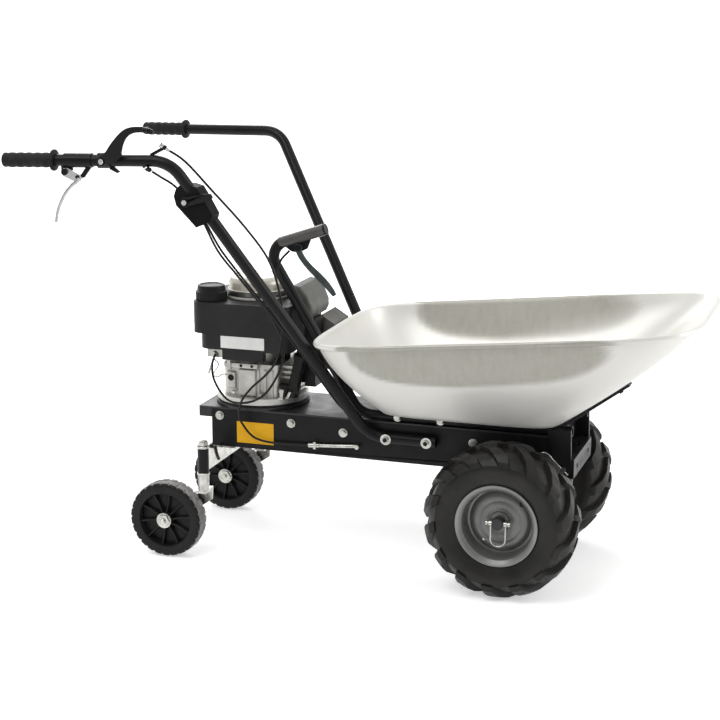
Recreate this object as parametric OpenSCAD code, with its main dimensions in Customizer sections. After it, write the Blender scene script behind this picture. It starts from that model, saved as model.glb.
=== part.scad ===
// Motorised tipping barrow: driven axle, engine on the deck, tipping tub, swivel casters.
// Lengths are millimetres. The modules are drawn with X = 0 at the drive axle, +X towards the tub,
// -Y the side of the control levers, Z = 0 on the ground, and the whole is then centred along X.

/* [Drive wheels] */
// Outer radius over the lugs
tyre_r = 165; // [150:1:175]
// Clearance between a tyre and the side plate
wheel_gap = 22; // [20:1:28]
// Distance between the two wheel mid-planes
track = 361; // [358:1:380]
// Height of a lug above the carcass
lug_h = 11; // [6:0.5:14]
// Lugs on each side of the tread
lug_count = 14; // [10:1:16]
// Radius of the rim flange
rim_r = 88; // [84:1:94]
// Radius of the axle shaft
axle_r = 12.5; // [10:0.5:15]

/* [Chassis] */
// Width over the side plates
chassis_w = 190; // [184:1:192]
// Height of the deck's top face
deck_z = 330; // [328:1:336]
// Height of the side plates
side_h = 90; // [84:1:94]
// Rear end of the side plates
chassis_rear_x = -695; // [-715:1:-690]
// Front end of the chassis
chassis_front_x = 133; // [128:1:150]
// How far the deck reaches past the side plates at the rear
deck_lip = 30; // [20:1:40]
// Sheet thickness
plate = 4; // [3:0.5:5]
// Height of the low box at the front end
nose_h = 42; // [38:1:46]
// Length of the low box at the front end
nose_l = 36; // [30:1:40]

/* [Handlebars] */
// Radius of the handlebar tube
handle_r = 12.5; // [11.5:0.5:13]
// Wall of the bent tubes
tube_wall = 2; // [1.5:0.25:3]
// Radius of the bends in the handlebars
tube_bend = 65; // [55:1:80]
// Height of the grips' rear end
grip_z = 900; // [880:1:920]
// Rear end of the grips
grip_end_x = -1050; // [-1070:1:-1030]
// Sideways distance of the grips' rear end from the middle
grip_y = 345; // [330:1:360]
// Length of a grip
grip_l = 118; // [105:1:130]
// Radius of a grip
grip_r = 15.5; // [14.5:0.5:18]

/* [Tub] */
// Front end of the rolled rim
tub_front_x = 398; // [380:1:410]
// Rear end of the rolled rim
tub_rear_x = -430; // [-431:1:-420]
// Half the width of the side panels at the rim
tub_half_w = 246; // [240:1:250]
// Half the width that the rounded belly would reach without the side panels
belly_half_w = 251; // [246:1:258]
// Height of the tub floor's underside
tub_floor_z = 352.3; // [352.3:0.1:356]
// Half the width of the flat floor
floor_half_w = 130; // [118:1:140]
// Front end of the flat floor
floor_front_x = 100; // [90:1:108]
// Rear end of the flat floor
floor_rear_x = -300; // [-310:1:-290]
// Sheet thickness of the tub
tub_wall = 2; // [1.5:0.25:3]
// Radius of the rolled rim
bead_r = 6; // [5:0.5:7]
// Height of the rim above the drive axle's plane
rim_z = 560.5; // [552:0.5:572]
// Rise of the rim per millimetre forward
rim_rise = 0.1; // [0.08:0.002:0.11]
// Slope of the side panels from the vertical
panel_angle = 18; // [14:0.5:20]

/* [Tub frame] */
// Radius of the tub frame's tubes
tube_r = 11; // [10:0.5:11.5]
// Sideways distance of the tub rails from the middle
rail_y = 85; // [82:0.5:85]
// Height of the tub's tipping pivot
pivot_z = 261; // [258:1:263]
// Place of the tub's tipping pivot
pivot_x = 112; // [108:1:116]
// Radius of the pivot pin
pivot_r = 6; // [5:0.5:7]

/* [Casters] */
// Radius of a caster wheel
caster_r = 86; // [80:1:86]
// Width of a caster wheel
caster_w = 45; // [38:1:46]
// Distance from the swivel axis back to the wheel axle
caster_trail = 88; // [84:1:88]
// Distance of the swivel axes from the rear end of the side plates
swivel_inset = 13; // [8:1:20]
// Sideways distance of a swivel axis from the middle
swivel_y = 177; // [177:1:190]
// Outer radius of the swivel sleeve
sleeve_r = 12.5; // [12:0.5:15]
// Radius of the swivel stem
stem_r = 8; // [6:0.5:9]

/* [Engine] */
// Place of the crankshaft along the chassis
crank_x = -607; // [-612:1:-600]
// Radius of the crankshaft
crank_r = 11; // [9:0.5:12]
// Radius of the engine's mounting flange
flange_r = 106; // [100:1:112]
// Length of the tank and shroud
shroud_l = 232; // [226:1:236]
// Width of the tank and shroud
shroud_w = 236; // [220:1:244]
// Radius of the recoil starter dome
dome_r = 66; // [60:1:68]
// Radius of the fuel cap
cap_r = 33; // [29:0.5:34]

/* [Drive] */
// Pitch radius of the engine pulley
engine_pulley_r = 34; // [30:1:38]
// Pitch radius of the gearbox pulley
gearbox_pulley_r = 62; // [56:1:68]
// Pitch radius of the worm
worm_r = 15; // [14:0.5:16]
// Pitch radius of the worm wheel
worm_wheel_r = 42; // [40:0.5:44]
// Radius of the idler pulley
idler_r = 13; // [11:0.5:14]

/* [Fits] */
// Radial clearance of shafts and pins that turn
run_gap = 0.05; // [0.02:0.01:0.1]
// Clearance between faces that move past each other
face_gap = 0.5; // [0.4:0.1:1]

/* [Hidden] */
$fn = 48;

// Chassis
half_w = chassis_w / 2;
bottom_z = deck_z - side_h;
nose_x = chassis_front_x - nose_l;
nose_z = bottom_z + nose_h;
wheel_y = track / 2;
tyre_w = track - chassis_w - 2 * wheel_gap;
swivel_x = chassis_rear_x + swivel_inset;
bolt_r = 7;
bolt_h = 5;
washer_r = 12;
washer_t = 2;

// Handlebars: foot along the side plate, straight leg, then the level part that carries the grip
foot_y = half_w + handle_r;
foot_z = 297;
foot_front_x = -166;
foot_corner_x = -318;
top_corner = [-682, 316, 908];
foot_bolt_x = [-185, -276];
deck_bolts = [[-675, 311], [-504, 307], [-382, 296], [-87, 299]];
grip_end = [grip_end_x, grip_y, grip_z];
grip_dir = unit(grip_end - top_corner);
grip_cap = 4;
handle_path = [
    [foot_front_x, foot_y, foot_z], [foot_corner_x, foot_y, foot_z], top_corner,
    grip_end - grip_dir * grip_cap
];
leg_dir = unit(handle_path[2] - handle_path[1]);
// How far the slanted end face of a grip reaches past the middle of that face
grip_tip = grip_r * norm([grip_dir.y, grip_dir.z]);
// Middle of the whole length, which becomes X = 0
middle_x = (grip_end_x - grip_tip + tub_front_x) / 2;

function unit(v) = v / norm(v);
// Point on the straight leg at a height, and on the level part at a place along X
function leg_at(z) = handle_path[1] + leg_dir * (z - foot_z) / leg_dir.z;
function level_at(x) = handle_path[2] + grip_dir * (x - top_corner.x) / grip_dir.x;

// Lines up +Z with a direction
module along(from, dir) {
    turn = norm([dir.x, dir.y]) < 1e-6 ? [0, dir.z < 0 ? 180 : 0, 0]
        : [0, acos(dir.z), atan2(dir.y, dir.x)];
    translate(from) rotate(turn) children();
}

module rod(from, to, r) along(from, unit(to - from)) cylinder(r = r, h = norm(to - from));

// Box between two corners
module block(low, high) translate(low) cube(high - low);

// Plate in the XZ plane between two Y values, from an outline of [x, z] points
module side_plate(outline, y0, y1) translate([0, y1, 0]) rotate([90, 0, 0])
    linear_extrude(y1 - y0) polygon(outline);

// Points along a path whose inner corners are rounded to the given bend radii
bend_steps = 7;
function rounded_path(path, bends) = [
    path[0],
    for (i = [1 : len(path) - 2]) let (
        into = unit(path[i] - path[i - 1]),
        away = unit(path[i + 1] - path[i]),
        turn = acos(into * away),
        inward = unit(away - into * (into * away)),
        start = path[i] - into * bends[i - 1] * tan(turn / 2)
    ) each [for (k = [0 : bend_steps]) let (a = turn * k / bend_steps)
        start + bends[i - 1] * (sin(a) * into + (1 - cos(a)) * inward)],
    path[len(path) - 1]
];

// Two directions that span the ring round one point of a path
function ring_frame(path, i) = let (
    dir = unit(path[min(i + 1, len(path) - 1)] - path[max(i - 1, 0)]),
    side = unit(cross(dir, [0, 1, 0]))
) [side, cross(dir, side)];
function ring_points(path, r, sides) = [for (i = [0 : len(path) - 1]) let (f = ring_frame(path, i))
    each [for (k = [0 : sides - 1]) let (a = 360 * k / sides) path[i] + r * (cos(a) * f[0] + sin(a) * f[1])]];
function skin_faces(rings, sides, first, flip) = [for (i = [0 : rings - 2], k = [0 : sides - 1]) let (
    a = first + i * sides + k, b = first + i * sides + (k + 1) % sides, c = a + sides, d = b + sides
) each flip ? [[a, b, c], [b, d, c]] : [[a, c, b], [b, c, d]]];

// Round bar along a path of points
module round_bar(path, r, sides) {
    last = (len(path) - 1) * sides;
    ends = [for (k = [1 : sides - 2]) each [[0, k, k + 1], [last, last + k + 1, last + k]]];
    polyhedron(ring_points(path, r, sides), concat(skin_faces(len(path), sides, 0, false), ends));
}

// Round tube along a path of points, open at both ends
module round_tube(path, r, wall, sides) {
    count = len(path) * sides;
    last = count - sides;
    ends = [for (k = [0 : sides - 1]) let (n = (k + 1) % sides) each [
        [k, n, count + k], [n, count + n, count + k],
        [last + k, count + last + k, last + n], [last + n, count + last + k, count + last + n]]];
    polyhedron(concat(ring_points(path, r, sides), ring_points(path, r - wall, sides)),
        concat(skin_faces(len(path), sides, 0, false), skin_faces(len(path), sides, count, true), ends));
}
tube_sides = 24;
cable_sides = 8;

// Draws for the right side (-Y) and the left side (+Y)
module right_side() mirror([0, 1, 0]) children();
module both_sides() for (m = [0, 1]) mirror([0, m, 0]) children();

// Bolt head with a washer on a side plate; the head points out along +Y
module side_bolt(x, z, y, washer) translate([x, y, z]) rotate([-90, 0, 0]) {
    cylinder(r = washer, h = washer_t);
    translate([0, 0, washer_t]) cylinder(r = bolt_r, h = bolt_h, $fn = 6);
}

// Chassis modules
module chassis_sides() color("#1b1b1d") both_sides() difference() {
    side_plate([
        [chassis_rear_x, bottom_z], [chassis_front_x, bottom_z], [chassis_front_x, nose_z],
        [nose_x, nose_z], [nose_x, deck_z - plate], [chassis_rear_x, deck_z - plate]
    ], half_w - plate, half_w);
    translate([pivot_x, 0, pivot_z]) rotate([-90, 0, 0]) cylinder(r = pivot_r, h = chassis_w);
}

module deck_plate() color("#1b1b1d") difference() {
    union() {
        block([chassis_rear_x - deck_lip, -half_w, deck_z - plate], [nose_x, half_w, deck_z]);
        block([chassis_rear_x - deck_lip, -half_w, deck_z - lip_h],
            [chassis_rear_x - deck_lip + plate, half_w, deck_z - plate]);
        both_sides() block([chassis_rear_x - deck_lip + plate, half_w - plate, deck_z - lip_h],
            [chassis_rear_x, half_w, deck_z - plate]);
        tensioner_pin();
    }
    translate([crank_x, 0, 0]) cylinder(r = crank_r + 9, h = deck_z + 10);
    block([latch_x - slot_rear, latch_y - 8, deck_z - 20], [latch_x + slot_front, latch_y + 8, deck_z + 1]);
}
lip_h = 24;

// Low closed box at the front end, between the side plates, with two small vent holes in its top
module front_box() color("#1b1b1d") difference() {
    union() {
        block([nose_x, -half_w + plate, nose_z - plate], [chassis_front_x, half_w - plate, nose_z]);
        block([chassis_front_x - plate, -half_w + plate, bottom_z],
            [chassis_front_x, half_w - plate, nose_z - plate]);
        block([nose_x - plate, -half_w + plate, nose_z - plate], [nose_x, half_w - plate, deck_z - plate]);
    }
    for (y = [-30, 30]) translate([nose_x + nose_l / 2, y, nose_z - 2 * plate])
        cylinder(r = 4, h = 3 * plate);
    for (y = [-front_hole_y, front_hole_y]) translate([chassis_front_x - 2 * plate, y, bottom_z + nose_h / 2])
        rotate([0, 90, 0]) cylinder(r = front_hole_r, h = 3 * plate);
}
front_hole_r = 5.5;
front_hole_y = 60;

// Bolts of the right and left side plates, and the two that hold each handlebar's foot
module chassis_bolts() color("#c9c7bf") both_sides() {
    for (b = deck_bolts) side_bolt(b.x, b.y, half_w, bolt_r + 3);
    for (x = foot_bolt_x) side_bolt(x, foot_z, foot_y + handle_r, washer_r);
}

// Gearbox: split box round the worm and its wheel, hung from the chassis
worm_x = -(worm_r + worm_wheel_r) - face_gap;
box_front_x = 62;
box_rear_x = worm_x - worm_r - 18;
box_half_w = 34;
box_low_z = tyre_r - worm_wheel_r - 16;
box_wall = 6;
bearing_r = axle_r + 10;
bearing_w = 15;
module gearbox_housing() color("#3a3b3d") difference() {
    union() {
        block([box_rear_x, -box_half_w, box_low_z], [box_front_x, box_half_w, bottom_z - 8]);
        block([box_rear_x - 12, -half_w, bottom_z - 8],
            [box_front_x + 12, half_w, bottom_z]);
        translate([0, -wheel_y + tyre_w / 2 + 12, tyre_r]) rotate([-90, 0, 0])
            cylinder(r = bearing_r + 6, h = track - tyre_w - 24);
    }
    block([box_rear_x + box_wall, -box_half_w + box_wall, box_low_z + box_wall],
        [box_front_x - box_wall, box_half_w - box_wall, bottom_z - 8 - box_wall]);
    translate([0, -wheel_y, tyre_r]) rotate([-90, 0, 0]) cylinder(r = axle_r + 1, h = track);
    both_sides() translate([0, wheel_y - tyre_w / 2 - 12 - bearing_w, tyre_r]) rotate([-90, 0, 0])
        cylinder(r = bearing_r, h = bearing_w + 1);
    translate([worm_x, 0, box_low_z + 2]) cylinder(r = input_r + run_gap, h = side_h + 200);
}
input_r = 9;

module axle_bearings() color("#b9b9b6") both_sides()
    translate([0, wheel_y - tyre_w / 2 - 12 - bearing_w, tyre_r]) rotate([-90, 0, 0]) difference() {
        cylinder(r = bearing_r, h = bearing_w);
        translate([0, 0, -1]) cylinder(r = axle_r + run_gap, h = bearing_w + 2);
    }

// Handlebars
handle_line = rounded_path(handle_path, [tube_bend, tube_bend]);
module handlebar() round_tube(handle_line, handle_r, tube_wall, tube_sides);
module handlebar_right() color("#1b1b1d") right_side() handlebar();
module handlebar_left() color("#1b1b1d") handlebar();

// Grip: sleeve with a round flange at its front, closed at the rear
grip_flange_r = 22.5;
module grips() color("#151515") both_sides() {
    along(grip_end, -grip_dir) difference() {
        union() {
            cylinder(r = grip_r, h = grip_l);
            translate([0, 0, grip_l - 7]) cylinder(r = grip_flange_r, h = 7);
            for (k = [1 : 4]) translate([0, 0, k * grip_l / 6]) cylinder(r = grip_r + 1.2, h = grip_l / 14);
        }
        translate([0, 0, grip_cap]) cylinder(r = handle_r, h = grip_l);
    }
}

// Frame on the level part of a handlebar: X forward along the tube, Y out, Z up
module level_frame(x) {
    at = level_at(x);
    ahead = -grip_dir;
    out = unit(cross([0, 0, 1], ahead));
    up = cross(ahead, out);
    multmatrix([
        [ahead.x, out.x, up.x, at.x], [ahead.y, out.y, up.y, at.y], [ahead.z, out.z, up.z, at.z]
    ]) children();
}

// Clamp of the drive lever: ring round the tube with the pivot pin on its outer side
drive_x = -822;
ring_wall = 4;
lever_pin_r = 4;
ear_t = 6;
lever_t = 5;
lever_out = handle_r + ring_wall + face_gap;
module drive_lever_clamp() color("#1b1b1d") right_side() level_frame(drive_x) difference() {
    union() {
        translate([-14, 0, 0]) rotate([0, 90, 0]) cylinder(r = handle_r + ring_wall, h = 28);
        side_plate([[10, -8], [14, -8], [32, -24], [26, -26], [10, -18]], -ear_t / 2, ear_t / 2);
        rotate([-90, 0, 0]) cylinder(r = lever_pin_r, h = lever_out + face_gap + lever_t);
        translate([0, lever_out + face_gap + lever_t, 0]) rotate([-90, 0, 0])
            cylinder(r = lever_pin_r + 3, h = 3);
    }
    translate([-40, 0, 0]) rotate([0, 90, 0]) cylinder(r = handle_r, h = 80);
}

// Drive lever: flat horn that rises forward and ends in a spoon
spoon_at = [100, 65];
module drive_lever() color("#1b1b1d") right_side() level_frame(drive_x)
    translate([0, lever_out, 0]) difference() {
        union() {
            rotate([-90, 0, 0]) cylinder(r = lever_pin_r + 6, h = lever_t);
            side_plate([[-8, 8], [8, -8], [38, 12], [43, 34], [52, 50], [66, 58], [90, 59], [114, 56],
                [116, 62], [112, 67], [90, 72], [66, 72], [50, 68], [34, 56], [20, 36], [8, 18]], 0, lever_t);
            translate([spoon_at.x, lever_t / 2, spoon_at.y]) rotate([-90, 0, 0])
                cylinder(r = 6, h = 22, center = true);
        }
        translate([0, -1, 0]) rotate([-90, 0, 0]) cylinder(r = lever_pin_r + run_gap, h = lever_t + 2);
    }

// Bracket of the hand lever: ring round the tube, triangular plate with a window, pivot pin
hand_x = -880;
hand_pivot = [-30, -23.5];
module lever_bracket() color("#1b1b1d") right_side() level_frame(hand_x) difference() {
    union() {
        translate([-32, 0, 0]) rotate([0, 90, 0]) cylinder(r = handle_r + 2.5, h = 62);
        difference() {
            side_plate([[-40, -8], [32, -8], [10, -36], [0, -37], [-16, -31], [-40, -30]],
                -ear_t / 2, ear_t / 2);
            side_plate([[-16, -15], [14, -15], [4, -29], [-14, -25]], -ear_t, ear_t);
        }
        translate([hand_pivot.x, -ear_t / 2, hand_pivot.y]) rotate([-90, 0, 0])
            cylinder(r = lever_pin_r, h = ear_t + 2 * face_gap + lever_t);
        translate([hand_pivot.x, ear_t / 2 + 2 * face_gap + lever_t, hand_pivot.y]) rotate([-90, 0, 0])
            cylinder(r = lever_pin_r + 3, h = 3);
    }
    translate([-60, 0, 0]) rotate([0, 90, 0]) cylinder(r = handle_r, h = 120);
    // Room for the lever's hub beside the ring
    translate([hand_pivot.x, ear_t / 2, hand_pivot.y]) rotate([-90, 0, 0]) difference() {
        cylinder(r = hand_hub_r + 1, h = lever_t + 2 * face_gap);
        translate([0, 0, -1]) cylinder(r = lever_pin_r, h = lever_t + 3);
    }
}

// Hand lever: bright plate on the pivot and a long thin blade
hand_hub_r = 8;
module hand_lever() color("#d8d8d5") right_side() level_frame(hand_x)
    translate([hand_pivot.x, ear_t / 2 + face_gap, hand_pivot.y]) difference() {
        union() {
            rotate([-90, 0, 0]) cylinder(r = hand_hub_r, h = lever_t);
            side_plate([[-7, 2], [4, 4], [32, -8], [35, -14], [18, -30], [4, -47], [-8, -67], [-15, -85],
                [-20, -106], [-27, -105], [-22, -83], [-15, -64], [-4, -43], [10, -26], [20, -17], [-5, -6]],
                0, lever_t);
        }
        translate([0, -1, 0]) rotate([-90, 0, 0]) cylinder(r = lever_pin_r + run_gap, h = lever_t + 2);
    }

// Throttle control on the right leg: rounded box clamped on the tube, lever on its outer face
throttle_z = 823;
throttle_at = leg_at(throttle_z);
throttle_pin = [-20, 0];
box_out = 20;
box_in = 18;
module throttle_box() color("#1b1b1d") right_side() difference() {
    translate(throttle_at) union() {
        side_plate([[-33, 34], [-14, 36], [5, 31], [20, 8], [39, -25], [35, -38], [2, -52], [-24, -26],
            [-42, -8], [-47, 11], [-42, 26]], -box_in, box_out);
        translate([throttle_pin.x, 0, throttle_pin.y]) rotate([-90, 0, 0])
            cylinder(r = lever_pin_r, h = box_out + 2 * face_gap + lever_t);
        translate([throttle_pin.x, box_out + 2 * face_gap + lever_t, throttle_pin.y]) rotate([-90, 0, 0])
            cylinder(r = lever_pin_r + 3, h = 3);
    }
    along(throttle_at - leg_dir * 100, leg_dir) cylinder(r = handle_r, h = 200);
}
module throttle_lever() color("#1b1b1d") right_side()
    translate(throttle_at + [throttle_pin.x, box_out + face_gap, throttle_pin.y]) difference() {
        union() {
            rotate([-90, 0, 0]) cylinder(r = 11, h = lever_t);
            side_plate([[-2, 10], [6, -8], [56, 6], [62, 12], [58, 20], [48, 20]], 0, lever_t);
        }
        translate([0, -1, 0]) rotate([-90, 0, 0]) cylinder(r = lever_pin_r + run_gap, h = lever_t + 2);
    }

// Barrels that stop the outer casings of the drive cable and the brake cable
stop_r = 5;
module cable_stops() color("#1b1b1d") right_side() {
    difference() {
        union() {
            rod(drive_route[0] - unit(drive_route[1] - drive_route[0]) * 14, drive_route[0], stop_r);
            rod(level_at(-722) + [0, 0, handle_r - 1], drive_route[0] + [-6, 0, 0], 3.5);
        }
        along(level_at(-790), -grip_dir) cylinder(r = handle_r, h = 120);
    }
    difference() {
        union() {
            rod(brake_route[0] - unit(brake_route[1] - brake_route[0]) * 12, brake_route[0], stop_r);
            rod(level_at(-738) - [0, 0, handle_r - 1], brake_route[0] - [6, 0, 0], 3.5);
        }
        along(level_at(-790), -grip_dir) cylinder(r = handle_r, h = 120);
    }
}

// Cable routes on the right side, written with Y outward
cable_r = 2.5;
drive_route = [
    [-690, 314, 933], [-654, 298, 905], [-606, 275, 845], [-550, 235, 765], [-511, 200, 690],
    [-495, 178, 610], [-498, 160, 530], [-515, 148, 465], [-545, 140, 425], [-580, 140, 392],
    [-604, 139, 360], [-613, 132, 325], [-608, 116, 296], [-590, 108, 272], [-560, 104, 262],
    [-520, 103, 261], [-460, 103, 263]
];
throttle_route = [
    [-622, 283, 777], [-600, 262, 715], [-570, 232, 660], [-540, 200, 605], [-515, 170, 555],
    [-503, 146, 500], [-510, 140, 445], [-545, 136, 385], [-590, 131, 357], [-640, 128, 357],
    [-674, 122, 395], [-684, 112, 430], [-682, 98, 452]
];
brake_route = [
    [-722, 324, 888], [-708, 303, 872], [-694, 272, 852], [-670, 256, 822], [-648, 252, 795], [-628, 250, 765],
    [-600, 246, 715], [-552, 235, 650], [-498, 210, 570], [-455, 170, 492], [-412, 146, 420], [-388, 118, 370],
    [-378, 86, 342], [-372, 80, 330]
];
module drive_cable() color("#111111") right_side() round_bar(drive_route, cable_r, cable_sides);
module throttle_cable() color("#111111") right_side() round_bar(throttle_route, cable_r, cable_sides);
module brake_cable() color("#111111") right_side() round_bar(brake_route, cable_r, cable_sides);

// End of the drive cable on the side plate: ferrule, boot, pull arm and pin
module clutch_fitting() color("#c9c7bf") right_side() {
    y = half_w;
    rod([-460, 103, 263], [-436, 103, 264], 5);
    block([-448, y, 256], [-442, y + 13, 272]);
    rod([-436, 103, 264], [-350, 103, 270], 4);
    rod([-346, y, 270], [-346, y + 16, 270], 5);
}

// Plain plates where the object carries its stickers
module label_plates() color("#d9a520") {
    right_side() block([-634, half_w, 252], [-546, half_w + 0.6, 301]);
    right_side() block([crank_x - 53, shroud_w / 2, 473], [crank_x + 50, shroud_w / 2 + 0.6, 500]);
}

// Slab with round vertical edges, standing on Z = 0 and centred on the origin
module rounded_slab(l, w, h, r) {
    block([-l / 2, -w / 2 + r, 0], [l / 2, w / 2 - r, h]);
    block([-l / 2 + r, -w / 2, 0], [l / 2 - r, w / 2, h]);
    for (x = [-1, 1], y = [-1, 1]) translate([x * (l / 2 - r), y * (w / 2 - r), 0]) cylinder(r = r, h = h);
}

// Engine
flange_t = 12;
case_z = deck_z + flange_t;
case_h = 88;
foot_r = 104;
foot_h = 14;
case_l = 134;
case_w = 150;
fin_l = 26;
cylinder_end = crank_x + case_l / 2 + fin_l;
shroud_x = crank_x - 9;
skirt_l = 214;
skirt_h = 34;
shroud_z = 468;
shroud_h = 104;
shroud_top = shroud_z + shroud_h;
shroud_wall = 3;
shroud_corner = 26;
fuel_at = [crank_x - 90, -78];
neck_r = 20;
neck_h = 22;
module engine_flange() color("#2a2a2b") translate([crank_x, 0, deck_z]) difference() {
    union() {
        cylinder(r = flange_r, h = flange_t * 0.6);
        cylinder(r = flange_r - 6, h = flange_t);
    }
    translate([0, 0, -1]) cylinder(r = crank_r + 1, h = flange_t + 2);
}

// Crankcase: cast block with upright ribs, a round bearing boss and the finned cylinder towards the tub
fin_count = 6;
fin_pitch = 12;
fin_t = 5;
fin_half_w = 46;
rib_count = 4;
rib_pitch = 16;
rib_t = 6;
rib_out = 4;
module crankcase() color("#b4b1a8") translate([crank_x, 0, case_z]) difference() {
    union() {
        rounded_slab(case_l, case_w, case_h, 14);
        cylinder(r = foot_r, h = foot_h);
        for (k = [0 : rib_count - 1]) translate([k * rib_pitch, -case_w / 2 - rib_out, foot_h])
            cube([rib_t, case_w + 2 * rib_out, case_h - foot_h - 12]);
        translate([0, 0, case_h]) cylinder(r = 52, h = shroud_z - case_z - case_h - 4);
        for (k = [0 : fin_count - 1]) translate([case_l / 2 - 1, -fin_half_w, 18 + fin_pitch * k])
            cube([fin_l + 1, 2 * fin_half_w, fin_t]);
        block([case_l / 2 - 1, -36, foot_h + 1], [case_l / 2 + 22, 36, case_h - 4]);
    }
    translate([0, 0, -1]) cylinder(r = crank_r + run_gap, h = case_h + 80);
}

// Tank and fan shroud in one moulding, open below: a skirt under a longer upper part, and the filler neck
module shroud_tiers(inset) {
    translate([crank_x, 0, shroud_z - inset]) rounded_slab(skirt_l - 2 * inset, shroud_w - 2 * inset,
        skirt_h + 2 * inset + 1, shroud_corner - inset);
    translate([shroud_x, 0, shroud_z + skirt_h + inset]) rounded_slab(shroud_l - 2 * inset,
        shroud_w - 2 * inset, shroud_h - skirt_h - 2 * inset, shroud_corner - inset);
}
module tank_shroud() color("#232425") difference() {
    union() {
        difference() {
            shroud_tiers(0);
            shroud_tiers(shroud_wall);
        }
        block([crank_x - 50, -shroud_w / 2, 446], [crank_x + 46, -98, shroud_z + 2]);
        translate([fuel_at.x, fuel_at.y, shroud_top - 1]) cylinder(r = neck_r, h = neck_h + 1);
        for (x = [-60, 60]) translate([crank_x + x, 0, case_z + case_h])
            cylinder(r = 7, h = shroud_top - case_z - case_h - 1);
    }
    translate([crank_x, 0, shroud_top - 20]) cylinder(r = crank_r + 20, h = 40);
}

// Recoil starter cover: tapered base ring and a puck with a rounded top edge
dome_base = 9;
dome_wall = 5;
module recoil_dome() color("#b9b2a0") translate([shroud_x, 0, shroud_top]) rotate_extrude() difference() {
    polygon([[0, 0], [dome_r + dome_base, 0], [dome_r + dome_base, 6], [dome_r + 3, 18], [dome_r, 18],
        [dome_r, 34], [dome_r - 4, 43], [dome_r - 14, 48], [dome_r - 36, 50], [0, 50]]);
    polygon([[-1, -1], [dome_r, -1], [dome_r - dome_wall, 14], [dome_r - dome_wall, 34],
        [dome_r - dome_wall - 4, 40], [dome_r - 20, 44], [dome_r - 38, 45], [-1, 45]]);
}

// Air filter over the front edge of the shroud, on the carburettor
filter_x = crank_x + 76;
filter_low_z = 534;
module air_filter() color("#6f706c") translate([filter_x, 0, 0]) side_plate([
    [38, filter_low_z], [38, shroud_top + 1], [8, shroud_top + 1], [8, 600], [15, 609], [32, 606],
    [50, 586], [60, 562], [60, 547], [54, filter_low_z]
], -48, 72);
module carburettor() color("#2b2b2c") {
    block([cylinder_end + 23, -40, 380], [cylinder_end + 48, 14, filter_low_z]);
    block([cylinder_end, -25, 384], [cylinder_end + 24, 10, 424]);
}

// Exhaust guard: slotted box at the end of a short pipe
guard_x = cylinder_end + 41;
guard_l = 35;
pipe_z = 424;
module exhaust_guard() color("#77756a") {
    translate([guard_x, 0, 0]) difference() {
        side_plate([[0, 408], [0, 532], [guard_l - 4, 513], [guard_l, 504], [guard_l, 408]], 20, 116);
        for (k = [0 : 4]) block([guard_l - 6, 30 + 16 * k, 430], [guard_l + 1, 38 + 16 * k, 490]);
    }
    rod([cylinder_end, 34, pipe_z], [guard_x + 1, 34, pipe_z], 9);
}

// Oil filler: bent tube out of the crankcase, with its cap on top
oil_r = 13;
oil_path = [[crank_x + case_l / 2, -61, 376], [crank_x + 97, -62, 376], [crank_x + 115, -64, 448]];
oil_up = unit(oil_path[2] - oil_path[1]);
oil_plug_r = 6;
oil_plug_l = 20;
module oil_filler() color("#1b1b1d") difference() {
    union() {
        rod(oil_path[0], oil_path[1] + [oil_r, 0, 0], oil_r);
        rod(oil_path[1] - oil_up * (oil_r + 2), oil_path[2], oil_r + 0.5);
    }
    along(oil_path[2] - oil_up * (oil_plug_l + 4), oil_up) cylinder(r = oil_plug_r + run_gap, h = 40);
}
module oil_cap() color("#151515") along(oil_path[2], oil_up) {
    translate([0, 0, -oil_plug_l]) cylinder(r = oil_plug_r, h = oil_plug_l + 1);
    translate([0, 0, face_gap]) cylinder(r = oil_r + 4, h = 8);
    translate([0, 0, face_gap + 8]) block([-12, -3, 0], [12, 3, 9]);
}

// Fuel cap with grip ribs, turning on the filler neck
cap_h = 42;
cap_ribs = 18;
module fuel_cap() color("#151515") translate([fuel_at.x, fuel_at.y, shroud_top + face_gap]) difference() {
    union() {
        cylinder(r = cap_r - 2, h = cap_h);
        translate([0, 0, 4]) cylinder(r = cap_r - 1, h = cap_h - 10);
        for (k = [0 : cap_ribs - 1]) rotate(360 * k / cap_ribs)
            block([cap_r - 4, -2, 5], [cap_r, 2, cap_h - 5]);
    }
    translate([0, 0, -1]) cylinder(r = neck_r + run_gap, h = neck_h + 2);
}

// Governor bracket on the right of the crankcase, with its stop and link
governor_x = crank_x - 50;
module governor_bracket() color("#c9c7bf") {
    block([governor_x - 46, -92, 444], [governor_x + 8, -89, 464]);
    block([governor_x, -90, 418], [governor_x + 8, -case_w / 2, 430]);
    block([governor_x, -92, 418], [governor_x + 8, -89, 444]);
    rod([governor_x - 30, -98, 452], [governor_x - 30, -89, 452], 5);
    rod([governor_x - 26, -97, 452], [governor_x - 42, -97, 408], 2.5);
}

// Belt drive under the deck
belt_z = 285;
belt_w = 12;
belt_t = 8;
pulley_w = 24;
groove_w = 15;
drive_seat = 0.4;
module pulley(pitch) rotate_extrude() polygon([
    [0, -pulley_w / 2], [pitch + 6, -pulley_w / 2], [pitch + 6, -groove_w / 2 - 1.5],
    [pitch - belt_t / 2 - drive_seat, -groove_w / 2], [pitch - belt_t / 2 - drive_seat, groove_w / 2],
    [pitch + 6, groove_w / 2 + 1.5], [pitch + 6, pulley_w / 2], [0, pulley_w / 2]
]);

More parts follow.
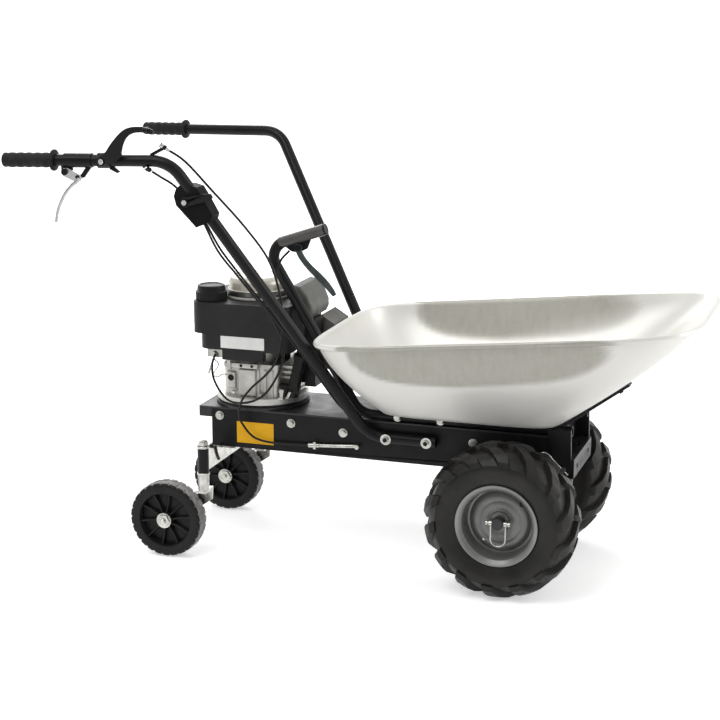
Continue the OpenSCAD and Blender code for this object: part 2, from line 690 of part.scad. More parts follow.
belt_span = worm_x - crank_x;
belt_tilt = asin((gearbox_pulley_r - engine_pulley_r) / belt_span);
module belt_outline(grow) hull() {
    circle(r = engine_pulley_r + grow, $fn = 64);
    translate([belt_span, 0]) circle(r = gearbox_pulley_r + grow, $fn = 64);
}
module drive_belt() color("#161616") translate([crank_x, 0, belt_z - belt_w / 2]) linear_extrude(belt_w)
    difference() {
        belt_outline(belt_t / 2);
        belt_outline(-belt_t / 2);
    }
flywheel_r = 48;
module crankshaft() color("#9a9a98") translate([crank_x, 0, 0]) {
    translate([0, 0, belt_z - 20]) cylinder(r = crank_r, h = shroud_z + 50 - belt_z);
    translate([0, 0, belt_z]) pulley(engine_pulley_r);
    translate([0, 0, shroud_z + 14]) difference() {
        cylinder(r = flywheel_r, h = 18);
        translate([0, 0, 6]) difference() {
            cylinder(r = flywheel_r - 8, h = 14);
            cylinder(r = crank_r + 8, h = 14);
        }
    }
}
module input_shaft() color("#9a9a98") translate([worm_x, 0, 0]) {
    translate([0, 0, box_low_z + 3]) cylinder(r = input_r, h = belt_z + 16 - box_low_z - 3);
    translate([0, 0, tyre_r - 24]) cylinder(r = worm_r, h = 48);
    translate([0, 0, belt_z]) pulley(gearbox_pulley_r);
}

// Belt tensioner: arm on a pin under the deck, with the idler pulley at its end
idler_travel = 7.5;
arm_x = -400;
arm_l = 70;
arm_y = -(engine_pulley_r + (arm_x + arm_l - crank_x) / belt_span * (gearbox_pulley_r - engine_pulley_r))
    / cos(belt_tilt) - belt_t / 2 - idler_r - idler_travel;
arm_pin_r = 5;
arm_z = belt_z - belt_w / 2 - 12;
arm_t = 5;
module tensioner_arm() color("#8c8b86") difference() {
    union() {
        translate([arm_x, arm_y, arm_z]) cylinder(r = arm_pin_r + 4, h = 26);
        block([arm_x, arm_y - 6, arm_z], [arm_x + arm_l, arm_y + 6, arm_z + arm_t]);
        translate([arm_x + arm_l, arm_y, arm_z]) cylinder(r = 7, h = arm_t);
        translate([arm_x + arm_l, arm_y, arm_z]) cylinder(r = idler_pin_r, h = belt_w + 18);
    }
    translate([arm_x, arm_y, arm_z - 1]) cylinder(r = arm_pin_r + run_gap, h = 40);
}
idler_pin_r = 4;
module idler_pulley() color("#5b5b5a") translate([arm_x + arm_l, arm_y, arm_z + arm_t + face_gap])
    difference() {
        cylinder(r = idler_r, h = belt_w + 10);
        translate([0, 0, -1]) cylinder(r = idler_pin_r + run_gap, h = belt_w + 14);
    }
// Pin of the tensioner arm, welded under the deck
module tensioner_pin() {
    translate([arm_x, arm_y, arm_z - 4]) cylinder(r = arm_pin_r, h = deck_z - plate - arm_z + 5);
    translate([arm_x, arm_y, arm_z - 4]) cylinder(r = arm_pin_r + 4, h = 4 - face_gap);
}

// Drive wheels; a wheel is drawn with its axis along Z, outer face up, and then laid along Y
module on_axle() both_sides() translate([0, wheel_y, tyre_r]) rotate([-90, 0, 0]) children();
seat_r = 76;
rim_w = tyre_w - 23;
axle_end = wheel_y + 42;
pin_y = wheel_y + 34;
pin_r = 3.5;
module axle_shaft() color("#8a8a88") difference() {
    translate([0, -axle_end, tyre_r]) rotate([-90, 0, 0]) cylinder(r = axle_r, h = 2 * axle_end);
    both_sides() translate([-axle_r - 2, pin_y, tyre_r]) rotate([0, 90, 0])
        cylinder(r = pin_r, h = 2 * axle_r + 4);
}
rim_edge = rim_w / 2;
hub_r = axle_r + 8;
module rims() color("#8f9092") on_axle() rotate_extrude() polygon([
    [axle_r, -34], [hub_r, -34], [hub_r, 10], [52, 14], [64, 6], [seat_r - 4, 6], [seat_r - 4, -rim_edge + 4],
    [seat_r, -rim_edge], [rim_r - 2, -rim_edge - 2], [rim_r, -rim_edge], [rim_r, -rim_edge + 2],
    [seat_r + 4, -rim_edge + 4], [seat_r, -rim_edge + 8], [seat_r, rim_edge - 8], [seat_r + 4, rim_edge - 4],
    [rim_r, rim_edge - 2], [rim_r, rim_edge], [rim_r - 2, rim_edge + 2], [seat_r, rim_edge],
    [seat_r - 4, rim_edge - 4], [seat_r - 4, 10], [66, 10], [54, 18], [40, 18], [34, 14], [hub_r, 14],
    [hub_r, 22], [axle_r, 22]
]);

// Tyre: carcass with chevron lugs cut to a rounded outer shape
carcass_r = tyre_r - lug_h;
shoulder = 0.25 * tyre_w;
module tyre_section(crown, side) polygon([
    [seat_r, -rim_edge + 8.5], [seat_r + 5, -rim_edge + 4.5], [rim_r, -rim_edge + 2.5],
    [rim_r + 14, -side + 4], [rim_r + 34, -side], [crown - 22, -side + 2], [crown - 8, -side + shoulder / 2],
    [crown - 2, -side + shoulder], [crown, 0], [crown - 2, side - shoulder], [crown - 8, side - shoulder / 2],
    [crown - 22, side - 2], [rim_r + 34, side], [rim_r + 14, side - 4], [rim_r, rim_edge - 2.5],
    [seat_r + 5, rim_edge - 4.5], [seat_r, rim_edge - 8.5]
]);
tyre_wall = 9;
lug_pitch = 360 / lug_count;
lug_sweep = 46;
module lug_leg() rotate([0, 90, 0]) translate([0, 0, carcass_r - 34]) linear_extrude(lug_h + 40) polygon([
    [-1, -13], [-tyre_w / 2 + 8, lug_sweep - 15], [-tyre_w / 2 - 2, lug_sweep - 8],
    [-tyre_w / 2 - 2, lug_sweep + 10], [-tyre_w / 2 + 10, lug_sweep + 10], [-1, 11]
]);
module tyres() color("#161616") on_axle() {
    difference() {
        rotate_extrude() tyre_section(carcass_r, tyre_w / 2 - 4);
        rotate_extrude() polygon([
            [seat_r - 1, -0.25 * tyre_w], [seat_r + 20, -0.345 * tyre_w], [carcass_r - 30, -0.375 * tyre_w],
            [carcass_r - tyre_wall, -0.232 * tyre_w], [carcass_r - tyre_wall, 0.232 * tyre_w],
            [carcass_r - 30, 0.375 * tyre_w], [seat_r + 20, 0.345 * tyre_w], [seat_r - 1, 0.25 * tyre_w]
        ]);
    }
    intersection() {
        difference() {
            rotate_extrude() tyre_section(tyre_r, tyre_w / 2);
            rotate_extrude() polygon([
                [0, -tyre_w], [carcass_r - 30, -tyre_w], [carcass_r - 22, -tyre_w / 2 + 8],
                [carcass_r - 4, -0.2 * tyre_w], [carcass_r - 3, 0], [carcass_r - 4, 0.2 * tyre_w],
                [carcass_r - 22, tyre_w / 2 - 8], [carcass_r - 30, tyre_w], [0, tyre_w]
            ]);
        }
        for (k = [0 : lug_count - 1]) {
            rotate(k * lug_pitch) lug_leg();
            rotate((k + 0.5) * lug_pitch) mirror([0, 0, 1]) lug_leg();
        }
    }
}
valve_r = 62;
module valve_stems() color("#1a1a1a") on_axle() rotate(-43) translate([valve_r, 0, 11]) rotate([0, 12, 0]) {
    cylinder(r = 5, h = 8);
    cylinder(r = 3.5, h = 26);
}
module lock_pins() color("#c9c7bf") both_sides() {
    translate([-22, pin_y, tyre_r]) rotate([0, 90, 0]) cylinder(r = pin_r, h = 44);
    for (x = [-26, 22]) translate([x, pin_y, tyre_r]) rotate([0, 90, 0]) cylinder(r = pin_r + 2, h = 4);
}

// Wire bail on a lock pin, hanging in front of the axle end
bail_half = 16;
bail_drop = 34;
bail_wire = 2;
module bail() translate([0, pin_y, tyre_r]) difference() {
    union() {
        for (x = [-bail_half, bail_half]) {
            translate([x - 3, 0, 0]) rotate([0, 90, 0]) cylinder(r = pin_r + 2.2, h = 6);
            translate([x, 0, -bail_drop]) cylinder(r = bail_wire, h = bail_drop);
        }
        translate([0, 0, -bail_drop]) rotate([-90, 0, 0]) rotate_extrude(angle = 180)
            translate([bail_half, 0]) circle(r = bail_wire);
    }
    translate([-40, 0, 0]) rotate([0, 90, 0]) cylinder(r = pin_r + run_gap, h = 80);
}
module bail_right() color("#d5d3cc") right_side() bail();
module bail_left() color("#d5d3cc") bail();
module worm_wheel() color("#a5823b") translate([0, -10, tyre_r]) rotate([-90, 0, 0]) difference() {
    cylinder(r = worm_wheel_r, h = 20);
    translate([0, 0, -1]) cylinder(r = axle_r, h = 22);
}

// Tub: a rounded belly between the floor outline and the rim outline, cut by two flat side panels
tub_around = 48;
outline_power = 0.367;
front_bulge = 1.2;
rear_bulge = 1.45;
side_bulge = 1.62;
upsweep_x = 200;
upsweep = 0.00008;
rim_front = tub_front_x - bead_r;
rim_rear = tub_rear_x + bead_r;
bead_foot = asin((bead_r - tub_wall) / bead_r);
bead_angles = [270 - bead_foot, 270, 315, 0, 45, 90, 135, 180];
wall_levels = [1, 0.93, 0.8, 0.62, 0.42, 0.2];
function signed_power(v) = sign(v) * pow(abs(v), outline_power);
function rim_height(x) = rim_z + rim_rise * x + upsweep * pow(max(x - upsweep_x, 0), 2);
// Point of the wall in one direction around; depth is 1 at the floor and 0 at the rim
function wall_point(angle, depth, inset) = let (
    cx = signed_power(cos(angle)),
    cy = signed_power(sin(angle)),
    floor_x = (floor_front_x + floor_rear_x) / 2 + ((floor_front_x - floor_rear_x) / 2 - inset) * cx,
    rim_x = (rim_front + rim_rear) / 2 + ((rim_front - rim_rear) / 2 - inset) * cx,
    top = rim_height(rim_x),
    low = tub_floor_z + inset,
    end_bulge = rear_bulge + (front_bulge - rear_bulge) * (1 + cx) / 2,
    belly = (floor_half_w - inset) + (belly_half_w - floor_half_w) * (1 - pow(depth, side_bulge)),
    panel = tub_half_w - inset - depth * (top - low) * tan(panel_angle)
) [
    floor_x + (rim_x - floor_x) * (1 - pow(depth, end_bulge)),
    sign(cy) * min(belly * abs(cy), panel),
    top - (top - low) * depth
];
// Points of the rolled edge, round a circle that starts on the outer wall and ends on the inner one
function bead_points(angle) = let (
    top = wall_point(angle, 0, 0),
    rise = unit(top - wall_point(angle, 0.05, 0)),
    flat = norm([rise.x, rise.y]),
    out = unit([rise.x / flat * rise.z, rise.y / flat * rise.z, -flat]),
    centre = top - rise * bead_r + out * (bead_r - tub_wall)
) [for (a = bead_angles) centre + bead_r * (cos(a) * out + sin(a) * rise)];
function wall_column(angle) = concat(
    [for (d = wall_levels) wall_point(angle, d, 0)],
    bead_points(angle),
    [for (k = [len(wall_levels) - 1 : -1 : 0]) wall_point(angle, wall_levels[k], tub_wall)]
);
module tub_tray() color("#c3c4c1") {
    columns = [for (i = [0 : tub_around - 1]) wall_column(360 * i / tub_around)];
    rows = len(columns[0]);
    middle = (floor_front_x + floor_rear_x) / 2;
    points = concat([for (c = columns) each c],
        [[middle, 0, tub_floor_z], [middle, 0, tub_floor_z + tub_wall]]);
    under = tub_around * rows;
    polyhedron(points, [for (i = [0 : tub_around - 1]) let (j = (i + 1) % tub_around) each concat(
        [[under, i * rows, j * rows], [under + 1, j * rows + rows - 1, i * rows + rows - 1]],
        [for (k = [0 : rows - 2]) let (a = i * rows + k, b = j * rows + k)
            each [[a, a + 1, b], [b, a + 1, b + 1]]]
    )]);
}

// Tub frame: two rails on the deck, the right one carried up into the tip handle
rail_gap = 0.3;
rail_z = deck_z + tube_r + rail_gap;
rail_front_x = 126;
rail_rear_x = -330;
tip_path = [[rail_front_x, rail_y, rail_z], [-346, rail_y, rail_z], [-563, rail_y, 698], [-423, rail_y, 745]];
tip_line = rounded_path(tip_path, [50, 37]);
lug_t = 5.5;
lug_r = 16;
lug_y = half_w + face_gap;
release_pivot = [-485, 702];
latch_x = -300;
cross_bar_x = [latch_x, 40];
cross_bar_w = 24;
cross_bar_t = 8;
cross_bar_y = rail_y - tube_r + 1;
latch_y = 30;
latch_pin = [latch_x + 24, rail_z - 1];
latch_t = 6;
slot_rear = 20;
slot_front = 34;
module tub_frame() color("#1b1b1d") {
    difference() {
        union() {
            right_side() round_tube(tip_line, tube_r, tube_wall, tube_sides);
            round_tube([tip_path[0], [rail_rear_x, rail_y, rail_z]], tube_r, tube_wall, tube_sides);
            for (x = cross_bar_x) block([x - cross_bar_w / 2, -cross_bar_y, rail_z - cross_bar_t / 2],
                [x + cross_bar_w / 2, cross_bar_y, rail_z + cross_bar_t / 2]);
            both_sides() {
                side_plate([[pivot_x - lug_r, pivot_z], [pivot_x + lug_r, pivot_z],
                    [rail_front_x, rail_z + 5], [rail_front_x - 52, rail_z + 5]], lug_y, lug_y + lug_t);
                translate([pivot_x, lug_y, pivot_z]) rotate([-90, 0, 0]) cylinder(r = lug_r, h = lug_t);
            }
        }
        both_sides() translate([pivot_x, lug_y - 1, pivot_z]) rotate([-90, 0, 0])
            cylinder(r = pivot_r + run_gap, h = lug_t + 2);
    }
    // Ear and pin of the latch
    block([latch_x + cross_bar_w / 2 - 1, latch_y + latch_t / 2 + face_gap, latch_pin.y - 6],
        [latch_pin.x + 8, latch_y + latch_t / 2 + 5, latch_pin.y + 6]);
    translate([latch_pin.x, latch_y - latch_t / 2 - 1, latch_pin.y]) rotate([-90, 0, 0])
        cylinder(r = lever_pin_r, h = latch_t + 4);
    // Bracket and pin of the release lever
    right_side() difference() {
        union() {
            side_plate([[-520, 704], [-455, 728], [-466, 700], [-485, 690], [-502, 692]],
                rail_y - ear_t / 2, rail_y + ear_t / 2);
            translate([release_pivot.x, rail_y - ear_t / 2, release_pivot.y]) rotate([-90, 0, 0]) {
                cylinder(r = lever_pin_r, h = ear_t + 2 * face_gap + lever_t);
                translate([0, 0, ear_t + 2 * face_gap + lever_t]) cylinder(r = lever_pin_r + 3, h = 3);
            }
        }
        round_bar(tip_line, tube_r - tube_wall / 2, tube_sides);
    }
}

module release_lever() color("#3b4446") right_side()
    translate([release_pivot.x, rail_y + ear_t / 2 + face_gap, release_pivot.y]) difference() {
        union() {
            rotate([-90, 0, 0]) cylinder(r = lever_pin_r + 5, h = lever_t);
            side_plate([[-9, 0], [9, 2], [10, -22], [34, -42], [66, -70], [86, -94], [84, -102],
                [74, -100], [54, -80], [24, -54], [-6, -34]], 0, lever_t);
            translate([80, lever_t / 2, -96]) rotate([-90, 0, 0]) cylinder(r = 6, h = 12, center = true);
        }
        translate([0, -1, 0]) rotate([-90, 0, 0]) cylinder(r = lever_pin_r + run_gap, h = lever_t + 2);
    }

// Latch: hook through the slot in the deck, its nose just short of the slot's rear edge
latch_nose = latch_x - slot_rear + face_gap - latch_pin.x;
module tub_latch() color("#c9c7bf") translate([latch_pin.x, latch_y - latch_t / 2, latch_pin.y])
    difference() {
        union() {
            rotate([-90, 0, 0]) cylinder(r = lever_pin_r + 4, h = latch_t);
            side_plate([[-8, 0], [6, 0], [2, -30], [-30, -30], [latch_nose, -24], [-30, -19], [-10, -19]],
                0, latch_t);
        }
        translate([0, -1, 0]) rotate([-90, 0, 0]) cylinder(r = lever_pin_r + run_gap, h = latch_t + 2);
    }

// Flat straps that carry the front slope of the tub, each with a bolt head under its upper end
strap_w = 30;
strap_t = 5;
strap_low = [rail_front_x - 16, rail_z + tube_r];
strap_high = [246, 452.5];
strap_l = norm(strap_high - strap_low);
strap_slope = atan2(strap_high.y - strap_low.y, strap_high.x - strap_low.x);
module front_straps() color("#1b1b1d") both_sides()
    translate([strap_low.x, rail_y - strap_w / 2, strap_low.y]) rotate([0, -strap_slope, 0]) {
        cube([strap_l, strap_w, strap_t]);
        translate([strap_l - 26, strap_w / 2, -4]) cylinder(r = 5, h = 5, $fn = 6);
    }
tub_bolt_x = [-258, -161];
module tub_bolts() color("#c9c7bf") both_sides() for (x = tub_bolt_x)
    difference() {
        side_bolt(x, rail_z + 1, rail_y + tube_r - 3, bolt_r + 3);
        rod([x - 30, rail_y, rail_z], [x + 30, rail_y, rail_z], tube_r);
    }
release_route = [
    [-506, 89.5, 694], [-524, 97, 672], [-528, 99, 645], [-497, 99, 593], [-466, 99, 543], [-434, 99, 493],
    [-405, 99, 443], [-383, 99, 398], [-373, 96, 362], [-361, 80, 340], [-343, 62, 337], [-311, 44, 340]
];
module release_cable() color("#111111") right_side() round_bar(release_route, cable_r, cable_sides);

// Pivot pins through the nose of the chassis, each held by a wire clip
pin_inner_y = half_w - plate - 8;
pin_outer_y = half_w + face_gap + lug_t + 10;
clip_y = pin_outer_y - 4;
clip_r = 1.5;
clip_dir = unit([-1, 0, 0.95]);
clip_side = unit([-0.95, 0, -1]);
clip_at = [pivot_x, clip_y, pivot_z];
clip_path = [
    clip_at - clip_dir * 12, clip_at + clip_dir * 48, clip_at + clip_dir * 48 + clip_side * (pivot_r + 4),
    clip_at + clip_dir * 2 + clip_side * (pivot_r + clip_r + 0.3)
];
module pivot_pin() color("#c9c7bf") both_sides() difference() {
    union() {
        translate([pivot_x, pin_inner_y, pivot_z]) rotate([-90, 0, 0])
            cylinder(r = pivot_r, h = pin_outer_y - pin_inner_y);
        translate([pivot_x, pin_inner_y - 4, pivot_z]) rotate([-90, 0, 0]) cylinder(r = pivot_r + 4, h = 4);
    }
    rod(clip_at - clip_dir * 20, clip_at + clip_dir * 20, clip_r);
}
module pivot_clips() color("#d5d3cc") both_sides()
    round_bar(rounded_path(clip_path, [4, 4]), clip_r, cable_sides);

// Casters
caster_x = swivel_x - caster_trail;
sleeve_low = 195;
sleeve_high = 262;
arm_plate_y = caster_w / 2 + 3;
arm_plate_t = 5;
boss_z = 160;
caster_bolt_r = 6;
module swivel_sleeves() color("#1b1b1d") both_sides() translate([swivel_x, swivel_y, sleeve_low])
    difference() {
        cylinder(r = sleeve_r, h = sleeve_high - sleeve_low);
        translate([0, 0, -1]) cylinder(r = stem_r + run_gap, h = sleeve_high - sleeve_low + 2);
    }
module caster_cross_plate() color("#bdbdb8") difference() {
    union() {
        translate([swivel_x - 2, 0, 0]) rotate([90, 0, 90]) linear_extrude(plate) polygon([
            [-swivel_y, sleeve_low + 4], [-swivel_y, sleeve_high - 2], [-half_w - 20, bottom_z - 2],
            [half_w + 20, bottom_z - 2], [swivel_y, sleeve_high - 2], [swivel_y, sleeve_low + 4]
        ]);
        block([swivel_x - 10, -half_w, bottom_z - plate], [swivel_x + 44, half_w, bottom_z]);
        for (y = [-60, 60]) translate([swivel_x + 24, y, bottom_z - plate - 8])
            cylinder(r = 9, h = 8, $fn = 6);
    }
    both_sides() translate([swivel_x, swivel_y, 0]) cylinder(r = sleeve_r, h = 400);
}
module caster_swivel() {
    translate([swivel_x, 0, boss_z]) cylinder(r = sleeve_r, h = sleeve_low - face_gap - boss_z);
    translate([swivel_x, 0, boss_z]) cylinder(r = stem_r, h = sleeve_high + 12 - boss_z);
    translate([swivel_x, 0, sleeve_high + face_gap]) cylinder(r = stem_r + 4, h = 9, $fn = 6);
    block([swivel_x - 16, -sleeve_r, boss_z - 6], [swivel_x + 10, arm_plate_y + arm_plate_t, boss_z]);
    side_plate([
            [swivel_x - 16, boss_z], [swivel_x + 10, boss_z], [swivel_x + 8, boss_z - 30],
            [caster_x + 14, caster_r - 12], [caster_x - 12, caster_r - 10], [caster_x - 12, caster_r + 14],
            [swivel_x - 16, boss_z - 14]
        ],
        arm_plate_y, arm_plate_y + arm_plate_t);
    translate([caster_x, -caster_w / 2 - 8, caster_r]) rotate([-90, 0, 0]) {
        cylinder(r = caster_bolt_r, h = caster_w + 20 + arm_plate_t);
        cylinder(r = 15, h = 8 - face_gap, $fn = 6);
        translate([0, 0, arm_plate_y + caster_w / 2 + 8 + arm_plate_t]) cylinder(r = 11, h = 8, $fn = 6);
    }
}
module caster_swivel_right() color("#c9c7bf") translate([0, -swivel_y, 0]) caster_swivel();
module caster_swivel_left() color("#c9c7bf") translate([0, swivel_y, 0]) caster_swivel();
caster_ribs = 9;
tread_edge = caster_w / 2;
module caster_wheel() translate([caster_x, 0, caster_r]) rotate([90, 0, 0]) difference() {
    union() {
        rotate_extrude() polygon([
            [60, -tread_edge + 2], [64, -tread_edge], [80, -tread_edge], [caster_r - 2, -tread_edge + 5],
            [caster_r, -tread_edge + 12], [caster_r, tread_edge - 12], [caster_r - 2, tread_edge - 5],
            [80, tread_edge], [64, tread_edge], [60, tread_edge - 2]
        ]);
        cylinder(r = 61, h = 8, center = true);
        cylinder(r = 17, h = caster_w, center = true);
        for (k = [0 : caster_ribs - 1]) rotate(360 * k / caster_ribs)
            translate([14, -2, -caster_w / 2 + 8]) cube([48, 4, caster_w - 16]);
    }
    cylinder(r = caster_bolt_r + run_gap, h = caster_w + 2, center = true);
}
module caster_wheel_right() color("#1a1a1a") translate([0, -swivel_y, 0]) caster_wheel();
module caster_wheel_left() color("#1a1a1a") translate([0, swivel_y, 0]) caster_wheel();

module placed() translate([-middle_x, 0, 0]) children();

placed() chassis_sides();
placed() deck_plate();
placed() front_box();
placed() chassis_bolts();
placed() gearbox_housing();
placed() axle_bearings();
placed() handlebar_right();
placed() handlebar_left();
placed() grips();
placed() cable_stops();
placed() throttle_box();
placed() lever_bracket();
placed() drive_lever_clamp();
placed() engine_flange();
placed() crankcase();
placed() tank_shroud();
placed() recoil_dome();
placed() air_filter();
placed() exhaust_guard();
placed() carburettor();
placed() oil_filler();
placed() governor_bracket();
placed() caster_cross_plate();
placed() swivel_sleeves();
placed() pivot_pin();
placed() pivot_clips();
placed() drive_cable();
placed() throttle_cable();
placed() brake_cable();
placed() clutch_fitting();
placed() drive_belt();
placed() label_plates();
placed() axle_shaft();
placed() rims();
placed() tyres();
placed() valve_stems();
placed() lock_pins();
placed() worm_wheel();
placed() bail_right();
placed() bail_left();
placed() input_shaft();
placed() crankshaft();
placed() tensioner_arm();
placed() idler_pulley();
placed() drive_lever();
placed() hand_lever();
placed() throttle_lever();
placed() fuel_cap();
placed() oil_cap();
placed() tub_tray();
placed() tub_frame();
placed() front_straps();
placed() tub_bolts();
placed() release_cable();
placed() release_lever();
placed() tub_latch();
placed() caster_swivel_right();
placed() caster_swivel_left();
placed() caster_wheel_right();
placed() caster_wheel_left();
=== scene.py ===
import math

import bmesh
import bpy
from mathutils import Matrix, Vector


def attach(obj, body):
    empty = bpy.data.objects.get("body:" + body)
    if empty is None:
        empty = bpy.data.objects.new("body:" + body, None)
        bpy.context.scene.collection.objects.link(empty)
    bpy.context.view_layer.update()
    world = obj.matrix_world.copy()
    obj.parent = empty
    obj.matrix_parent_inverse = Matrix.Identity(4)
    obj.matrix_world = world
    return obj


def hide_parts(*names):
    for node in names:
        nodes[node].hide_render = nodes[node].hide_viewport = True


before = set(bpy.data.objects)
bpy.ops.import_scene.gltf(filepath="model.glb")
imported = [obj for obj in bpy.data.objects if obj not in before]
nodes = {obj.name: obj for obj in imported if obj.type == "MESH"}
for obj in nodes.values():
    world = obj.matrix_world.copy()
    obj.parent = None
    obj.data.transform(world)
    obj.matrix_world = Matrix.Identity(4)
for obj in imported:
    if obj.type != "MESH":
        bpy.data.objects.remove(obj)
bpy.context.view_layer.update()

# Places are in mm from the drive axle, as in the part's source, and row() turns them into metres in the row
AXLE_X = 326.6315


def row(x, y, z):
    """Place in the row frame, in metres."""
    return Vector(((x + AXLE_X) / 1000, y / 1000, z / 1000))


# Directions, the sides of the part, and the height of the drive axle
ALONG, ACROSS, UP, OUT_RIGHT = (1, 0, 0), (0, 1, 0), (0, 0, 1), (0, -1, 0)
SIDES = (("right", -1), ("left", 1))
WHEEL_Z = 165.0


# Materials
def material(name):
    """New material with its node tree and its main shader."""
    made = bpy.data.materials.new(name)
    made.use_nodes = True
    return made, made.node_tree, made.node_tree.nodes["Principled BSDF"]


def add(tree, kind, **inputs):
    """Adds a node and sets its inputs, named with underscores for spaces."""
    node = tree.nodes.new(kind)
    for key, value in inputs.items():
        node.inputs[key.replace("_", " ")].default_value = value
    return node


def noise(tree, scale, detail=4.0, stretch=(1, 1, 1)):
    """Noise over the object, stretched along its axes."""
    coords = tree.nodes.new("ShaderNodeTexCoord")
    mapping = add(tree, "ShaderNodeMapping", Scale=stretch)
    made = add(tree, "ShaderNodeTexNoise", Scale=scale, Detail=detail)
    tree.links.new(coords.outputs["Object"], mapping.inputs["Vector"])
    tree.links.new(mapping.outputs["Vector"], made.inputs["Vector"])
    return made.outputs["Fac"]


def spread(tree, value, low, high, start=0.3, end=0.7):
    """Maps the range from start to end onto the range from low to high."""
    made = add(tree, "ShaderNodeMapRange", From_Min=start, From_Max=end, To_Min=low, To_Max=high)
    tree.links.new(value, made.inputs["Value"])
    return made.outputs["Result"]


def colour_mix(tree, factor, first, second):
    """Blend of two colours, each a tuple or the output of a node."""
    made = tree.nodes.new("ShaderNodeMix")
    made.data_type = "RGBA"
    tree.links.new(factor, made.inputs[0])
    for slot, value in ((6, first), (7, second)):
        if isinstance(value, tuple):
            made.inputs[slot].default_value = (*value, 1.0)
        else:
            tree.links.new(value, made.inputs[slot])
    return made.outputs[2]


def bump(tree, shader, height, depth_mm, strength):
    """Gives a shader a relief."""
    made = add(tree, "ShaderNodeBump", Strength=strength, Distance=depth_mm / 1000)
    tree.links.new(height, made.inputs["Height"])
    tree.links.new(made.outputs["Normal"], shader.inputs["Normal"])


def patches(tree, scale, detail=4.0):
    """Soft patches with values from 0 to 1."""
    return spread(tree, noise(tree, scale, detail), 0.0, 1.0)


def step_up(tree, value, start, end):
    """Value that climbs from 0 at the start to 1 at the end."""
    return spread(tree, value, 0.0, 1.0, start, end)


def calculate(tree, operation, *values):
    """Result of a math node whose values are numbers or the outputs of other nodes."""
    made = tree.nodes.new("ShaderNodeMath")
    made.operation = operation
    for k, value in enumerate(values):
        if isinstance(value, (int, float)):
            made.inputs[k].default_value = value
        else:
            tree.links.new(value, made.inputs[k])
    return made.outputs[0]


def place_along(tree, axis, space="Object"):
    """Place along one axis, which is in metres in an object's own space."""
    coords = tree.nodes.new("ShaderNodeTexCoord")
    parts = tree.nodes.new("ShaderNodeSeparateXYZ")
    tree.links.new(coords.outputs[space], parts.inputs["Vector"])
    return parts.outputs[axis]


def radius_from(tree, centre_x, centre_z):
    """Distance from a wheel's axis, which lies along Y, in metres."""
    aside = calculate(tree, "SUBTRACT", place_along(tree, "X"), centre_x)
    above = calculate(tree, "SUBTRACT", place_along(tree, "Z"), centre_z)
    squares = [calculate(tree, "POWER", value, 2.0) for value in (aside, above)]
    return calculate(tree, "SQRT", calculate(tree, "ADD", *squares))


def surface(name, dark, light, rough, metallic=0.0, patch=18.0, grain=1400.0, depth_mm=0.05, strength=0.4,
            specular=0.5):
    """Material whose colour and roughness drift in soft patches, with a fine grain in its relief."""
    made, tree, shader = material(name)
    shader.inputs["Metallic"].default_value = metallic
    shader.inputs["Specular IOR Level"].default_value = specular
    colour = colour_mix(tree, patches(tree, patch, 6.0), dark, light)
    tree.links.new(colour, shader.inputs["Base Color"])
    tree.links.new(spread(tree, noise(tree, patch * 3.1, 5.0), *rough), shader.inputs["Roughness"])
    bump(tree, shader, noise(tree, grain, 2.0), depth_mm, strength)
    return made


# Paints
black_paint = surface("black_paint", (0.006, 0.006, 0.007), (0.012, 0.012, 0.013), (0.28, 0.4),
                      specular=0.18)
deck_paint = surface("deck_paint", (0.012, 0.012, 0.013), (0.03, 0.03, 0.03), (0.34, 0.5),
                     patch=9.0, specular=0.4)
guard_paint = surface("guard_paint", (0.10, 0.098, 0.09), (0.15, 0.147, 0.135), (0.4, 0.55), metallic=0.4)
# Lighter grey for the upper part of the tip handle
upper_tube_grey = surface("upper_tube_grey", (0.06, 0.057, 0.053), (0.09, 0.086, 0.08), (0.28, 0.38))

# Bare metals
zinc = surface("zinc", (0.45, 0.45, 0.42), (0.68, 0.67, 0.63), (0.22, 0.38), metallic=1.0, patch=60.0)
polished = surface("polished", (0.66, 0.67, 0.68), (0.8, 0.8, 0.8), (0.14, 0.26), metallic=1.0, patch=40.0)
pewter = surface("pewter", (0.035, 0.045, 0.046), (0.07, 0.08, 0.082), (0.25, 0.38),
                 metallic=0.4, patch=40.0)
steel = surface("steel", (0.35, 0.35, 0.35), (0.5, 0.5, 0.5), (0.3, 0.45), metallic=1.0, patch=50.0)
bronze = surface("bronze", (0.42, 0.29, 0.12), (0.6, 0.44, 0.2), (0.3, 0.45), metallic=1.0)
cast_alloy = surface("cast_alloy", (0.50, 0.49, 0.46), (0.68, 0.67, 0.64), (0.36, 0.52),
                     metallic=0.85, patch=30.0, grain=700.0, depth_mm=0.25, strength=0.5)
iron = surface("gearbox_iron", (0.03, 0.03, 0.032), (0.06, 0.06, 0.062), (0.5, 0.7),
               grain=500.0, depth_mm=0.4, specular=0.3)

# Plastics and rubbers
filter_plastic = surface("filter_plastic", (0.065, 0.067, 0.058), (0.10, 0.102, 0.09), (0.38, 0.5),
                         grain=900.0)
box_plastic = surface("box_plastic", (0.006, 0.006, 0.006), (0.010, 0.010, 0.010), (0.5, 0.62),
                      grain=1100.0, specular=0.08)
charcoal = surface("charcoal_plastic", (0.016, 0.016, 0.017), (0.024, 0.024, 0.025), (0.42, 0.54),
                   grain=1000.0, depth_mm=0.08, specular=0.22)
plastic = surface("black_plastic", (0.009, 0.009, 0.009), (0.016, 0.016, 0.016), (0.36, 0.5),
                  grain=1100.0, specular=0.2)
cable_skin = surface("cable_skin", (0.008, 0.008, 0.008), (0.014, 0.014, 0.014), (0.3, 0.4), specular=0.2)
rubber = surface("black_rubber", (0.009, 0.009, 0.009), (0.018, 0.018, 0.018), (0.6, 0.75),
                 grain=800.0, depth_mm=0.1, specular=0.25)
